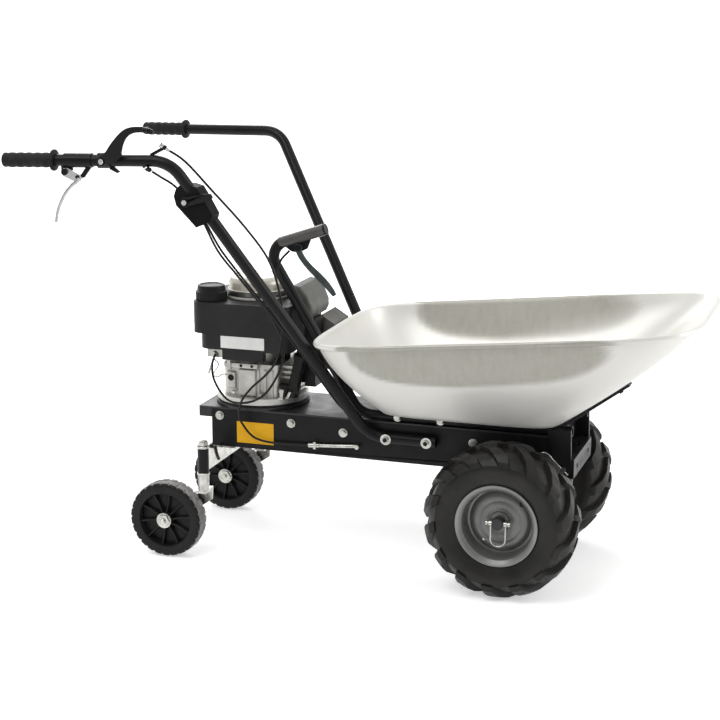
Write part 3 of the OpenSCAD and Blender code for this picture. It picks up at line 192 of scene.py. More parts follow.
tread_rubber = surface("tread_rubber", (0.16, 0.155, 0.15), (0.32, 0.31, 0.30), (0.55, 0.7),
                       patch=70.0, grain=600.0, depth_mm=0.2)
tyre_rubber = surface("tyre_rubber", (0.007, 0.0066, 0.006), (0.017, 0.0156, 0.014), (0.36, 0.5),
                      patch=22.0, grain=520.0, depth_mm=0.25, specular=0.32)


def galvanised_sheet():
    """Bright zinc-coated sheet with upright drawn streaks: the side panels painted greyer than the belly as
    shade and reflection, and the belly painted brighter as light from the floor.
    """
    made, tree, shader = material("galvanised")
    shader.inputs["Metallic"].default_value = 0.3
    panel = tree.nodes.new("ShaderNodeAttribute")
    panel.attribute_name = "panel"
    streak = noise(tree, 9.0, 5.0, stretch=(9, 9, 0.5))
    fine = noise(tree, 9.0, 5.0, stretch=(60, 60, 1.5))
    # Painted light: a bright belly for the light from the floor, and darker side panels for shade and
    # reflection
    belly = colour_mix(tree, patches(tree, 5.0), (0.76, 0.75, 0.71), (0.82, 0.81, 0.77))
    side = colour_mix(tree, spread(tree, streak, 0.0, 1.0), (0.375, 0.365, 0.315), (0.42, 0.41, 0.36))
    base = colour_mix(tree, panel.outputs["Fac"], belly, side)
    drawn = colour_mix(tree, spread(tree, fine, 0.0, 0.12), base, (0.76, 0.76, 0.74))
    tree.links.new(drawn, shader.inputs["Base Color"])
    tree.links.new(spread(tree, fine, 0.36, 0.46), shader.inputs["Roughness"])
    bump(tree, shader, fine, 0.05, 0.15)
    return made


def wheel_paint():
    """Satin grey paint on the rims, with a painted highlight on the rolled flange."""
    made, tree, shader = material("rim_paint")
    shader.inputs["Metallic"].default_value = 0.55
    # The rolled flange is painted brighter as a highlight
    lip_highlight = step_up(tree, radius_from(tree, AXLE_X / 1000, WHEEL_Z / 1000), 0.079, 0.084)
    base = colour_mix(tree, patches(tree, 25.0), (0.15, 0.15, 0.145), (0.20, 0.20, 0.195))
    tree.links.new(colour_mix(tree, lip_highlight, base, (0.27, 0.27, 0.265)), shader.inputs["Base Color"])
    tree.links.new(spread(tree, noise(tree, 60.0), 0.28, 0.42), shader.inputs["Roughness"])
    bump(tree, shader, noise(tree, 900.0, 2.0), 0.05, 0.3)
    return made


def label_film():
    """Blank labels: yellow film low on the side plate, white film on the shroud above it."""
    made, tree, shader = material("label_film")
    shader.inputs["Specular IOR Level"].default_value = 0.2
    upper = step_up(tree, place_along(tree, "Z"), 0.39, 0.40)
    drift = patches(tree, 30.0)
    yellow = colour_mix(tree, drift, (0.76, 0.39, 0.010), (0.83, 0.45, 0.016))
    white = colour_mix(tree, drift, (0.72, 0.72, 0.70), (0.80, 0.80, 0.78))
    tree.links.new(colour_mix(tree, upper, yellow, white), shader.inputs["Base Color"])
    tree.links.new(spread(tree, noise(tree, 80.0), 0.28, 0.42), shader.inputs["Roughness"])
    return made


def starter_paint():
    """Beige satin paint on the starter cover, a dark band below it painted as the shade of a recess, and a
    pale base ring painted as a highlight.
    """
    made, tree, shader = material("dome_paint")
    shader.inputs["Metallic"].default_value = 0.3
    shader.inputs["Coat Weight"].default_value = 0.3
    height = place_along(tree, "Z")
    above_highlight_ring = step_up(tree, height, 0.5785, 0.5795)
    above_shade_band = step_up(tree, height, 0.5895, 0.5905)
    drift = patches(tree, 18.0, 6.0)
    # Painted light: the pale base ring is a painted highlight, and the dark band above it is painted shade
    # in the recess under the cover
    ring = colour_mix(tree, drift, (0.60, 0.59, 0.54), (0.68, 0.67, 0.62))
    recess_shade = colour_mix(tree, drift, (0.014, 0.013, 0.012), (0.03, 0.028, 0.026))
    cover = colour_mix(tree, drift, (0.50, 0.47, 0.40), (0.60, 0.57, 0.50))
    base = colour_mix(tree, above_highlight_ring, ring, recess_shade)
    tree.links.new(colour_mix(tree, above_shade_band, base, cover), shader.inputs["Base Color"])
    tree.links.new(spread(tree, noise(tree, 56.0, 5.0), 0.26, 0.36), shader.inputs["Roughness"])
    bump(tree, shader, noise(tree, 1400.0, 2.0), 0.05, 0.4)
    return made


galvanised = galvanised_sheet()
dome_paint = starter_paint()
rim_paint = wheel_paint()
labels = label_film()

finish_of = {
    black_paint: "chassis_sides front_box handlebar_right handlebar_left cable_stops lever_bracket "
                 "drive_lever_clamp drive_lever tub_frame front_straps swivel_sleeves",
    deck_paint: "deck_plate engine_flange",
    zinc: "chassis_bolts governor_bracket pivot_pin pivot_clips clutch_fitting lock_pins bail_right "
          "bail_left tub_bolts tub_latch caster_swivel_right caster_swivel_left caster_cross_plate",
    polished: "hand_lever",
    pewter: "release_lever",
    steel: "axle_bearings input_shaft crankshaft tensioner_arm idler_pulley",
    cast_alloy: "crankcase",
    dome_paint: "recoil_dome",
    guard_paint: "exhaust_guard",
    filter_plastic: "air_filter",
    iron: "gearbox_housing axle_shaft",
    charcoal: "tank_shroud",
    box_plastic: "throttle_box",
    plastic: "carburettor throttle_lever fuel_cap oil_cap oil_filler caster_wheel_right caster_wheel_left",
    rubber: "drive_belt valve_stems grips",
    cable_skin: "drive_cable throttle_cable brake_cable release_cable",
    tyre_rubber: "tyres",
    rim_paint: "rims",
    galvanised: "tub_tray",
    bronze: "worm_wheel",
    labels: "label_plates",
}
for made, names in finish_of.items():
    for name in names.split():
        nodes[name].data.materials.clear()
        nodes[name].data.materials.append(made)


# Softened edges and even shading
def shading_group(angle):
    """Node group for a modifier that shades a mesh smooth, apart from edges sharper than the angle."""
    group = bpy.data.node_groups.new("smooth_by_angle", "GeometryNodeTree")
    group.interface.new_socket("Geometry", in_out="INPUT", socket_type="NodeSocketGeometry")
    group.interface.new_socket("Geometry", in_out="OUTPUT", socket_type="NodeSocketGeometry")
    start = group.nodes.new("NodeGroupInput")
    end = group.nodes.new("NodeGroupOutput")
    faces = group.nodes.new("GeometryNodeSetShadeSmooth")
    faces.domain = "FACE"
    edges = group.nodes.new("GeometryNodeSetShadeSmooth")
    edges.domain = "EDGE"
    edges.inputs["Shade Smooth"].default_value = False
    bend = group.nodes.new("GeometryNodeInputMeshEdgeAngle")
    limit = group.nodes.new("FunctionNodeCompare")
    limit.data_type = "FLOAT"
    limit.operation = "GREATER_THAN"
    limit.inputs[1].default_value = angle
    group.links.new(bend.outputs["Unsigned Angle"], limit.inputs[0])
    group.links.new(limit.outputs["Result"], edges.inputs["Selection"])
    group.links.new(start.outputs[0], faces.inputs["Geometry"])
    group.links.new(faces.outputs["Geometry"], edges.inputs["Geometry"])
    group.links.new(edges.outputs["Geometry"], end.inputs[0])
    return group


SHARP_ANGLE, BEVEL_ANGLE = math.radians(38), math.radians(30)
WELD_REACH, WIDE_EDGE_MM = 1e-5, 4
smooth_by_angle = shading_group(SHARP_ANGLE)


def soften(piece, width_mm=0.0):
    """Joins split points, rounds the edges by a width and shades the faces between them evenly."""
    weld = piece.modifiers.new("weld", "WELD")
    weld.merge_threshold = WELD_REACH
    if width_mm:
        rounding = piece.modifiers.new("edges", "BEVEL")
        rounding.width = width_mm / 1000
        rounding.segments = 5 if width_mm > WIDE_EDGE_MM else 2
        rounding.limit_method = "ANGLE"
        rounding.angle_limit = BEVEL_ANGLE
    shade = piece.modifiers.new("shade", "NODES")
    shade.node_group = smooth_by_angle
    even = piece.modifiers.new("even", "WEIGHTED_NORMAL")
    even.keep_sharp = True


edge_mm = {
    "chassis_sides": 0.8, "deck_plate": 1.0, "front_box": 1.0, "front_straps": 0.8, "chassis_bolts": 0.6,
    "crankcase": 1.6, "tank_shroud": 3.0, "air_filter": 6.0, "exhaust_guard": 1.5, "engine_flange": 1.5,
    "recoil_dome": 7.0, "fuel_cap": 0.8, "oil_cap": 1.0, "throttle_box": 11.0, "throttle_lever": 1.0,
    "drive_lever": 1.0, "drive_lever_clamp": 0.8, "hand_lever": 1.5, "lever_bracket": 0.8,
    "release_lever": 1.5, "caster_cross_plate": 0.6, "caster_swivel_right": 0.8, "caster_swivel_left": 0.8,
    "tub_bolts": 0.6, "tyres": 4.0,
}
for name, piece in nodes.items():
    soften(piece, edge_mm.get(name, 0.0))


# Mesh helpers
def mesh_object(name, points, faces, finish, body, slot, smooth=True):
    """Makes a piece from points in metres and rides it on a body."""
    mesh = bpy.data.meshes.new(name)
    mesh.from_pydata([tuple(p) for p in points], [], faces)
    shell = bmesh.new()
    shell.from_mesh(mesh)
    bmesh.ops.recalc_face_normals(shell, faces=shell.faces)
    shell.to_mesh(mesh)
    shell.free()
    mesh.materials.append(finish)
    if smooth:
        mesh.polygons.foreach_set("use_smooth", [True] * len(mesh.polygons))
    made = bpy.data.objects.new(name, mesh)
    bpy.context.scene.collection.objects.link(made)
    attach(made, body)
    return made


def unit(v):
    """Direction of a vector, with a length of 1."""
    return Vector(v).normalized()


def smooth_points(known, steps=6):
    """Points of a smooth line through known points, which may have any number of values each."""
    ends = [known[0] * 2 - known[1]] + known + [known[-1] * 2 - known[-2]]
    line = []
    for a, b, c, d in zip(ends, ends[1:], ends[2:], ends[3:]):
        for k in range(steps):
            t = k / steps
            line.append(0.5 * (2 * b + (c - a) * t + (2 * a - 5 * b + 4 * c - d) * t ** 2
                               + (3 * b - a - 3 * c + d) * t ** 3))
    return line + [known[-1]]


# Tub: the source's rounded form with more points, a softer crease and side panels that toe out to the front
BEAD_R, SHEET = 6.0, 2.0
RIM_FRONT, RIM_REAR = 398 - BEAD_R, -430 + BEAD_R
FLOOR_Z, FLOOR_FRONT, FLOOR_REAR, FLOOR_HALF = 352.3, 100.0, -300.0, 130.0
BELLY_HALF, PANEL_HALF, PANEL_SLOPE = 251.0, 246.0, math.tan(math.radians(18))
FRONT_BULGE, REAR_BULGE, SIDE_BULGE = 1.2, 1.45, 1.62
OUTLINE_POWER = 2 / 0.367
CREASE = 3.5
PANEL_TOE, PANEL_TOE_START = 0.03, -100.0
PANEL_EDGE, PANEL_FADE = 5.0, 2.5
RIM_Z, RIM_SLOPE, RIM_SWEEP, RIM_SWEEP_START = 560.5, 0.1, 0.00008, 200


def rim_height(x):
    """Height of the tub's rim, which climbs to the front."""
    return RIM_Z + RIM_SLOPE * x + RIM_SWEEP * max(x - RIM_SWEEP_START, 0) ** 2


def soft_min(a, b, width):
    """Lesser of two values, blended where they come within a width of each other."""
    near = max(0.0, width - abs(a - b))
    return min(a, b) - near ** 2 / (4 * width)


def panel_reach(x):
    """Half width of the tub at the top of a side panel, which toes out towards the front."""
    return PANEL_HALF + PANEL_TOE * max(x - PANEL_TOE_START, 0.0)


def wall_point(angle, depth, inset):
    """Point of the tub's wall at an angle round it; depth is 0 at the rim and 1 at the floor."""
    c, s = math.cos(angle), math.sin(angle)
    reach = (abs(c) ** OUTLINE_POWER + abs(s) ** OUTLINE_POWER) ** (-1 / OUTLINE_POWER)
    cx, cy = c * reach, s * reach
    floor_x = (FLOOR_FRONT + FLOOR_REAR) / 2 + ((FLOOR_FRONT - FLOOR_REAR) / 2 - inset) * cx
    rim_x = (RIM_FRONT + RIM_REAR) / 2 + ((RIM_FRONT - RIM_REAR) / 2 - inset) * cx
    top = rim_height(rim_x)
    low = FLOOR_Z + inset
    end_bulge = REAR_BULGE + (FRONT_BULGE - REAR_BULGE) * (1 + cx) / 2
    belly = FLOOR_HALF - inset + (BELLY_HALF - FLOOR_HALF) * (1 - depth ** SIDE_BULGE)
    x = floor_x + (rim_x - floor_x) * (1 - depth ** end_bulge)
    panel = panel_reach(x) - inset - depth * (top - low) * PANEL_SLOPE
    y = math.copysign(soft_min(belly * abs(cy), panel, CREASE), cy)
    return Vector((x, y, top - (top - low) * depth))


def on_panel(point):
    """How far a point of the tub lies on a flat side panel, from 0 to 1."""
    depth = (rim_height(point.x) - point.z) * PANEL_SLOPE
    share = (abs(point.y) - (panel_reach(point.x) - depth) + PANEL_EDGE) / PANEL_FADE
    return min(1.0, max(0.0, share))


def bead_points(angle, steps):
    """Points round the rolled bead on the rim, from the outer wall by its outside to the inner wall."""
    top = wall_point(angle, 0, 0)
    rise = (top - wall_point(angle, 0.05, 0)).normalized()
    flat = math.hypot(rise.x, rise.y)
    out = Vector((rise.x / flat * rise.z, rise.y / flat * rise.z, -flat)).normalized()
    centre = top - rise * BEAD_R + out * (BEAD_R - SHEET)
    start = 270 - math.degrees(math.asin((BEAD_R - SHEET) / BEAD_R))
    turns = [math.radians(start + (540 - start) * k / steps) for k in range(steps + 1)]
    return [centre + BEAD_R * (math.cos(a) * out + math.sin(a) * rise) for a in turns]


def tub_mesh():
    """Points and faces of the tub: outer wall, bead, inner wall and both sides of the floor."""
    around, levels, bead_steps, rings = 240, 26, 12, 6
    wall_share = 0.94
    depths = [1 - k / levels * wall_share for k in range(levels + 1)]
    columns = []
    for i in range(around):
        angle = 2 * math.pi * (i + 0.5) / around
        outer = [wall_point(angle, d, 0) for d in depths]
        inner = [wall_point(angle, d, SHEET) for d in reversed(depths)]
        columns.append(outer + bead_points(angle, bead_steps) + inner)
    rows = len(columns[0])
    points = [row(*p) for c in columns for p in c]
    faces = []
    for i in range(around):
        j = (i + 1) % around
        for k in range(rows - 1):
            faces.append((i * rows + k, j * rows + k, j * rows + k + 1, i * rows + k + 1))
    middle_x = (FLOOR_FRONT + FLOOR_REAR) / 2
    for edge, height, flip in ((0, FLOOR_Z, True), (rows - 1, FLOOR_Z + SHEET, False)):
        last = [i * rows + edge for i in range(around)]
        for ring in range(1, rings + 1):
            first = len(points)
            for i in range(around):
                p = columns[i][edge]
                p = p + (Vector((middle_x, 0, p.z)) - p) * ring / (rings + 1)
                points.append(row(p.x, p.y, height))
            fresh = list(range(first, first + around))
            for i in range(around):
                j = (i + 1) % around
                quad = (last[i], fresh[i], fresh[j], last[j])
                faces.append(tuple(reversed(quad)) if not flip else quad)
            last = fresh
        faces.append(tuple(last) if not flip else tuple(reversed(last)))
    return points, faces


tub = mesh_object("tub_skin", *tub_mesh(), galvanised, "tub", "galvanised")
# Mask of the flat side panels, which the galvanised material paints darker as shade and reflection
panel_shade_mask = tub.data.attributes.new("panel", "FLOAT", "POINT")
for vertex in tub.data.vertices:
    place = vertex.co * 1000
    panel_shade_mask.data[vertex.index].value = on_panel(Vector((place.x - AXLE_X, place.y, place.z)))
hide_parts("tub_tray")


# Control cables along the source's routes, smoothed
CABLE_R = 0.0025
drive_route = [
    (-690, 314, 933), (-654, 298, 905), (-606, 275, 845), (-550, 235, 765), (-511, 200, 690),
    (-495, 178, 610), (-498, 160, 530), (-515, 148, 465), (-545, 140, 425), (-580, 140, 392),
    (-604, 139, 360), (-613, 132, 325), (-608, 116, 296), (-590, 108, 272), (-560, 104, 262),
    (-520, 103, 261), (-460, 103, 263),
]
throttle_route = [
    (-622, 283, 777), (-600, 262, 715), (-570, 232, 660), (-540, 200, 605), (-515, 170, 555),
    (-503, 146, 500), (-510, 140, 445), (-545, 136, 385), (-590, 131, 357), (-640, 128, 357),
    (-674, 122, 395), (-684, 112, 430), (-682, 98, 452),
]
brake_route = [
    (-722, 324, 888), (-708, 303, 872), (-694, 272, 852), (-670, 256, 822), (-648, 252, 795),
    (-628, 250, 765), (-600, 246, 715), (-552, 235, 650), (-498, 210, 570), (-455, 170, 492),
    (-412, 146, 420), (-388, 118, 370), (-378, 86, 342), (-372, 80, 330),
]
release_route = [
    (-506, 89.5, 694), (-524, 97, 672), (-528, 99, 645), (-497, 99, 593), (-466, 99, 543), (-434, 99, 493),
    (-405, 99, 443), (-383, 99, 398), (-373, 96, 362), (-361, 80, 340), (-343, 62, 337), (-311, 44, 340),
]


def curve_tube(name, line, radius, finish, body):
    """Makes a round tube along a line, with its radius in metres, and rides it on a body."""
    data = bpy.data.curves.new(name, "CURVE")
    data.dimensions = "3D"
    data.bevel_depth = radius
    data.bevel_resolution = 4
    data.use_fill_caps = True
    spline = data.splines.new("POLY")
    spline.points.add(len(line) - 1)
    for point, place in zip(spline.points, line):
        point.co = (*place, 1)
    spline.use_smooth = True
    data.materials.append(finish)
    made = bpy.data.objects.new(name, data)
    bpy.context.scene.collection.objects.link(made)
    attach(made, body)
    return made


def line_length(line):
    """Length of a line of points."""
    return sum((b - a).length for a, b in zip(line, line[1:]))


for node, route, body in (
    ("drive_cable", drive_route, "chassis"), ("throttle_cable", throttle_route, "chassis"),
    ("brake_cable", brake_route, "chassis"), ("release_cable", release_route, "tub"),
):
    line = smooth_points([row(x, -y, z) for x, y, z in route], 8)
    cable = curve_tube(node + "_casing", line, CABLE_R, cable_skin, body)
    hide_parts(node)
    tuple(line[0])
    line_length(line)


# Turned pieces
def join_rings(faces, first, rings, count, closed=False):
    """Adds the skin over rings of points, with a cap at each end unless the last ring meets the first."""
    for i in range(rings if closed else rings - 1):
        a, b = first + i * count, first + (i + 1) % rings * count
        for k in range(count):
            n = (k + 1) % count
            faces.append((a + k, a + n, b + n, b + k))
    if not closed:
        last = first + (rings - 1) * count
        faces.append(tuple(first + k for k in reversed(range(count))))
        faces.append(tuple(last + k for k in range(count)))


def lathe(points, faces, profile, origin, axis, across, segments=48, shape=None, ring=False):
    """Adds a form turned about an axis; profile is (along, radius) in mm, and shape may vary the radius."""
    axis = unit(axis)
    side = unit(across)
    other = axis.cross(side)
    first = len(points)
    for along, radius in profile:
        for k in range(segments):
            a = 2 * math.pi * k / segments
            r = shape(along, radius, a) if shape else radius
            points.append(origin + (axis * along + (side * math.cos(a) + other * math.sin(a)) * r) / 1000)
    join_rings(faces, first, len(profile), segments, ring)


def turned_piece(name, forms, finish, body, slot, ring=False):
    """Makes a piece of turned forms, each given as (profile, origin, axis, across, segments)."""
    points, faces = [], []
    for form in forms:
        lathe(points, faces, *form, ring=ring)
    made = mesh_object(name, points, faces, finish, body, slot)
    soften(made)
    return made


# Grips: five soft swells and a flange
GRIP_END, TOP_CORNER = Vector((-1050, 345, 900)), Vector((-682, 316, 908))
GRIP_R, SWELL_RISE, SWELLS, SWELL_STEPS = 14.6, 1.3, 5, 8
SWELL_START, SWELL_PITCH, SWELL_LENGTH = 12, 19, 17
grip_profile = [(0, 9), (0.6, 12.5), (2.5, 14.8), (5, 15.4)]
for swell in range(SWELLS):
    for k in range(SWELL_STEPS + 1):
        rise = SWELL_RISE * math.sin(math.pi * k / SWELL_STEPS) ** 0.8
        along = SWELL_START + swell * SWELL_PITCH + SWELL_LENGTH * k / SWELL_STEPS
        grip_profile.append((along, GRIP_R + rise))
grip_profile += [(109, GRIP_R), (111, 15.2), (111.6, 21.6), (113, 22.5), (116.5, 22.5), (118, 21.5),
                 (118, 12.6)]
points, faces = [], []
for side in (-1, 1):
    end = Vector((GRIP_END.x, side * GRIP_END.y, GRIP_END.z))
    corner = Vector((TOP_CORNER.x, side * TOP_CORNER.y, TOP_CORNER.z))
    lathe(points, faces, grip_profile, row(*end), corner - end, UP, 40)
grips = mesh_object("grip_sleeves", points, faces, rubber, "chassis", "black_rubber")
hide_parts("grips")


# Shapes for the control levers
def sweep(points, faces, line, section, out):
    """Adds a bar along a line of (place in metres, width scale), with its section in mm."""
    first = len(points)
    for i, (place, wide) in enumerate(line):
        ahead = unit(line[min(i + 1, len(line) - 1)][0] - line[max(i - 1, 0)][0])
        across = unit(out.cross(ahead))
        for w, o in section:
            points.append(place + (across * w * wide + out * o) / 1000)
    join_rings(faces, first, len(line), len(section))


def oval(width, thickness, sides=16):
    """Section of a bar with rounded corners."""
    fullness = 0.7
    section = []
    for k in range(sides):
        c, s = math.cos(2 * math.pi * k / sides), math.sin(2 * math.pi * k / sides)
        w = width / 2 * math.copysign(abs(c) ** fullness, c)
        section.append((w, thickness / 2 * math.copysign(abs(s) ** fullness, s)))
    return section


grip_way = unit(GRIP_END - TOP_CORNER)


def level_frame(x):
    """Maker of places on the right handlebar's level part: forward along it, outward, up, in mm."""
    at = TOP_CORNER + grip_way * (x - TOP_CORNER.x) / grip_way.x
    ahead = -grip_way
    out = unit(Vector(UP).cross(ahead))
    up = ahead.cross(out)

    def place(a, o, u):
        p = at + ahead * a + out * o + up * u
        return row(p.x, -p.y, p.z)

    return place, Vector((out.x, -out.y, out.z))


def rounded_outline(outline, steps=5):
    """Smooth closed line through the corners of an outline."""
    known = [Vector(v) for v in outline]
    line = smooth_points(known[-2:] + known + known[:2], steps)
    return line[2 * steps:-2 * steps - 1 + steps]


def level_plate(points, faces, place, outline, low, high):
    """Adds a plate beside the handlebar, from an outline of (forward, up) and two outward distances."""
    first = len(points)
    for o in (low, high):
        for a, u in outline:
            points.append(place(a, o, u))
    join_rings(faces, first, 2, len(outline))


# Drive lever: a curved plate with a boss on its pivot and a round tip
PIN_R, EAR_HALF, FACE_GAP, LEVER_T = 4.05, 3.0, 0.5, 5.0
HANDLE_R, RING_WALL = 12.5, 4.0
DRIVE_LEVER_X, PIN_HEAD_OUT = -822, 3.6
DRIVE_LEVER_IN = HANDLE_R + RING_WALL + FACE_GAP
horn = [(-7, 7), (6, -7), (40, 6), (45, 20), (49, 34), (56, 47), (66, 55.5), (80, 59.5), (98, 59.5),
        (113, 57), (116, 62), (111, 67), (90, 71.5), (66, 70.5), (50, 64), (34, 50), (20, 34), (8, 18)]
boss = [(0, PIN_R), (0, 9.5), (0.8, 10.2), (LEVER_T + 0.2, 10.2), (LEVER_T + 0.4, 9.5),
        (LEVER_T + 0.4, PIN_R)]
tip = [(-8, 2), (-8.5, 4), (-7, 5.6), (7, 5.9), (12, 5.6), (13.5, 4), (13, 2)]
pin_head = [(0, 1), (0, 5.2), (0.8, 5.4), (1.5, 4.8), (1.6, 1)]
place, outward = level_frame(DRIVE_LEVER_X)
points, faces = [], []
level_plate(points, faces, place, rounded_outline(horn), DRIVE_LEVER_IN, DRIVE_LEVER_IN + LEVER_T)
lathe(points, faces, boss, place(0, DRIVE_LEVER_IN, 0), outward, UP, 32, ring=True)
lathe(points, faces, tip, place(100, DRIVE_LEVER_IN, 65), outward, UP, 32)
arm = mesh_object("drive_lever_arm", points, faces, plastic, "drive_lever", "black_plastic")
soften(arm, 1.2)
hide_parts("drive_lever")
pin_end = place(0, DRIVE_LEVER_IN + LEVER_T + PIN_HEAD_OUT, 0)
forms = [(pin_head, pin_end, outward, UP, 32)]
turned_piece("drive_lever_pin_head", forms, polished, "chassis", "zinc")

# Hand lever: a pressed plate on its pivot, with a curved blade and a dark eye for the cable
HAND_LEVER_X, PIVOT_A, PIVOT_U = -880, -30.0, -23.5
HAND_LEVER_IN = EAR_HALF + FACE_GAP
plate_outline = [(-8, 1), (-4, 8), (6, 8), (34, -6), (37, -13), (33, -20), (22, -21), (8, -15), (-5, -9)]
blade_line = [(30, -12, 1.1), (24, -21, 1.0), (13, -29, 0.9), (-2, -45, 0.82), (-14, -65, 0.78),
              (-22, -84, 0.76), (-27, -106, 0.74)]
collar = [(0.2, PIN_R), (0.2, 7.8), (LEVER_T - 0.2, 7.8), (LEVER_T - 0.2, PIN_R)]
eye_profile = [(0, 2), (0, 4.2), (0.4, 4.6), (3.6, 4.6), (4, 4.2), (4, 2)]
place, outward = level_frame(HAND_LEVER_X)
outline = [(PIVOT_A + a, PIVOT_U + u) for a, u in plate_outline]
points, faces = [], []
level_plate(points, faces, place, outline, HAND_LEVER_IN + 1, HAND_LEVER_IN + 3.5)
line = [(place(PIVOT_A + a, HAND_LEVER_IN + LEVER_T / 2, PIVOT_U + u), wide)
        for a, u, wide in smooth_points([Vector(v) for v in blade_line])]
sweep(points, faces, line, oval(9, LEVER_T), outward)
lathe(points, faces, collar, place(PIVOT_A, HAND_LEVER_IN, PIVOT_U), outward, UP, 32, ring=True)
blade = mesh_object("hand_lever_blade", points, faces, polished, "hand_lever", "zinc")
soften(blade, 0.4)
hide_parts("hand_lever")
eye_place = place(PIVOT_A + 27, HAND_LEVER_IN + 0.8, PIVOT_U - 11)
forms = [(eye_profile, eye_place, outward, UP, 24)]
turned_piece("hand_lever_eye", forms, plastic, "hand_lever", "black_plastic")


# Caster wheels: moulded spoked wheels with scalloped shoulders and a grey block tread
BLOCKS, SPOKES = 26, 10
HUB_R, WEB_HALF, BORE_R = 17.0, 4.0, 6.2
CASTER_X, CASTER_Y, CASTER_R, CASTER_HALF = -770.0, 177.0, 86.0, 22.5
TREAD_MIN_R, TREAD_HALF = 0.0825, 0.0185
tyre_half = [(6.5, 85.9), (13, 85.5), (17.5, 84.6), (20.2, 83.0), (21.8, 80.5), (22.5, 77.5), (22.5, 64.5),
             (21.8, 61.8), (19.5, 60.2)]
tread_profile = [(-a, r) for a, r in reversed(tyre_half)] + [(-4.5, 83.8), (4.5, 83.8)] + tyre_half
web_half = [(WEB_HALF, 61), (WEB_HALF + 1, 40), (WEB_HALF, HUB_R - 1)]
web = [(-a, r) for a, r in reversed(web_half)] + web_half
hub_half = [(WEB_HALF, HUB_R), (15, 15.5), (CASTER_HALF - 1, 14.5), (CASTER_HALF, 13),
            (CASTER_HALF, BORE_R)]
hub = [(-a, r) for a, r in reversed(hub_half)] + hub_half
spoke_stations = [(15.5, 18.5), (26, 15.0), (40, 13.0), (52, 14.5), (61, 17.5)]
spoke_section = [(-2.4, -0.92), (-1.5, -1), (1.5, -1), (2.4, -0.92), (2.4, 0.92), (1.5, 1), (-1.5, 1),
                 (-2.4, 0.92)]


def block_tread(along, radius, angle):
    """Radius of the tread, notched between the blocks, with the two rows half a block apart."""
    if radius < 79 or abs(along) < 5:
        return radius
    turn = angle * BLOCKS + (math.pi if along > 0 else 0)
    gap = max(0.0, math.cos(turn)) ** 4
    return radius - gap * (3.4 if abs(along) > 15 else 2.2)


def spoke(points, faces, centre, angle):
    """Adds a radial rib between hub and tyre, on both sides of the web, with a rounded top."""
    radial = Vector((math.cos(angle), 0, math.sin(angle)))
    across = Vector((-math.sin(angle), 0, math.cos(angle)))
    first = len(points)
    for reach, height in spoke_stations:
        for side, up in spoke_section:
            points.append(centre + (radial * reach + across * side + Vector((0, up * height, 0))) / 1000)
    join_rings(faces, first, len(spoke_stations), len(spoke_section))


def caster_wheel(side_name, side):
    """Makes one caster wheel: tread, web, hub and spokes."""
    node = "caster_wheel_" + side_name
    centre = row(CASTER_X, side * CASTER_Y, CASTER_R)
    points, faces = [], []
    turned = dict(origin=centre, axis=ACROSS, across=ALONG, ring=True)
    lathe(points, faces, tread_profile, **turned, segments=BLOCKS * 12, shape=block_tread)
    tread_faces = len(faces)
    lathe(points, faces, web, **turned, segments=72)
    lathe(points, faces, hub, **turned, segments=48)
    for k in range(SPOKES):
        spoke(points, faces, centre, 2 * math.pi * (k + 0.25) / SPOKES)
    wheel = mesh_object("caster_rim_" + side_name, points, faces, plastic, node, "black_plastic")
    wheel.data.materials.append(tread_rubber)
    for face in wheel.data.polygons[:tread_faces]:
        spot = face.center - centre
        if math.hypot(spot.x, spot.z) > TREAD_MIN_R and abs(spot.y) < TREAD_HALF:
            face.material_index = 1
    soften(wheel)
    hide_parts(node)


for side_name, side in SIDES:
    caster_wheel(side_name, side)


# Drive rims: pressed discs with a rolled lip, rings in the dish and a short hub
WHEEL_Y = 180.5
PLUG_X, PLUG_DROP, PLUG_OUT = -34, 42, 15
rim_profile = [
    (-34, 12.6), (-34, 20.5), (9, 20.5), (13, 50), (5, 64), (5, 71), (-46, 72), (-51, 75),
    (-53.5, 85.5), (-52, 88), (-50, 88), (-48, 80), (-44, 76), (44, 76), (48, 80), (50, 87),
    (51.5, 88.4), (53.5, 88.2), (54.2, 86.6), (53.4, 84.8), (51, 81), (48, 77), (45, 74.4), (30, 72.8),
    (17, 72), (12.5, 70.6), (11.4, 67), (12.5, 64.2), (15.2, 61.5), (17.6, 57), (18.4, 51), (18, 47),
    (16.6, 45), (16.6, 42.6), (18, 40.8), (18.2, 31), (16.6, 27), (16.6, 23), (21.4, 21.4), (22.4, 20.2),
    (22.4, 13.4), (21.8, 12.6),
]
plug = [(0, 1), (0, 5.4), (1.6, 5.2), (2.6, 4.2), (3, 2)]
rim_forms, plug_forms = [], []
for side in (-1, 1):
    plug_place = row(PLUG_X, side * (WHEEL_Y + PLUG_OUT), WHEEL_Z - PLUG_DROP)
    rim_forms.append((rim_profile, row(0, side * WHEEL_Y, WHEEL_Z), (0, side, 0), ALONG, 96))
    plug_forms.append((plug, plug_place, (0, side, 0), ALONG, 24))
rims = turned_piece("wheel_rims", rim_forms, rim_paint, "drive_axle", "rim_paint", ring=True)
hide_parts("rims")
turned_piece("rim_plugs", plug_forms, polished, "drive_axle", "zinc")

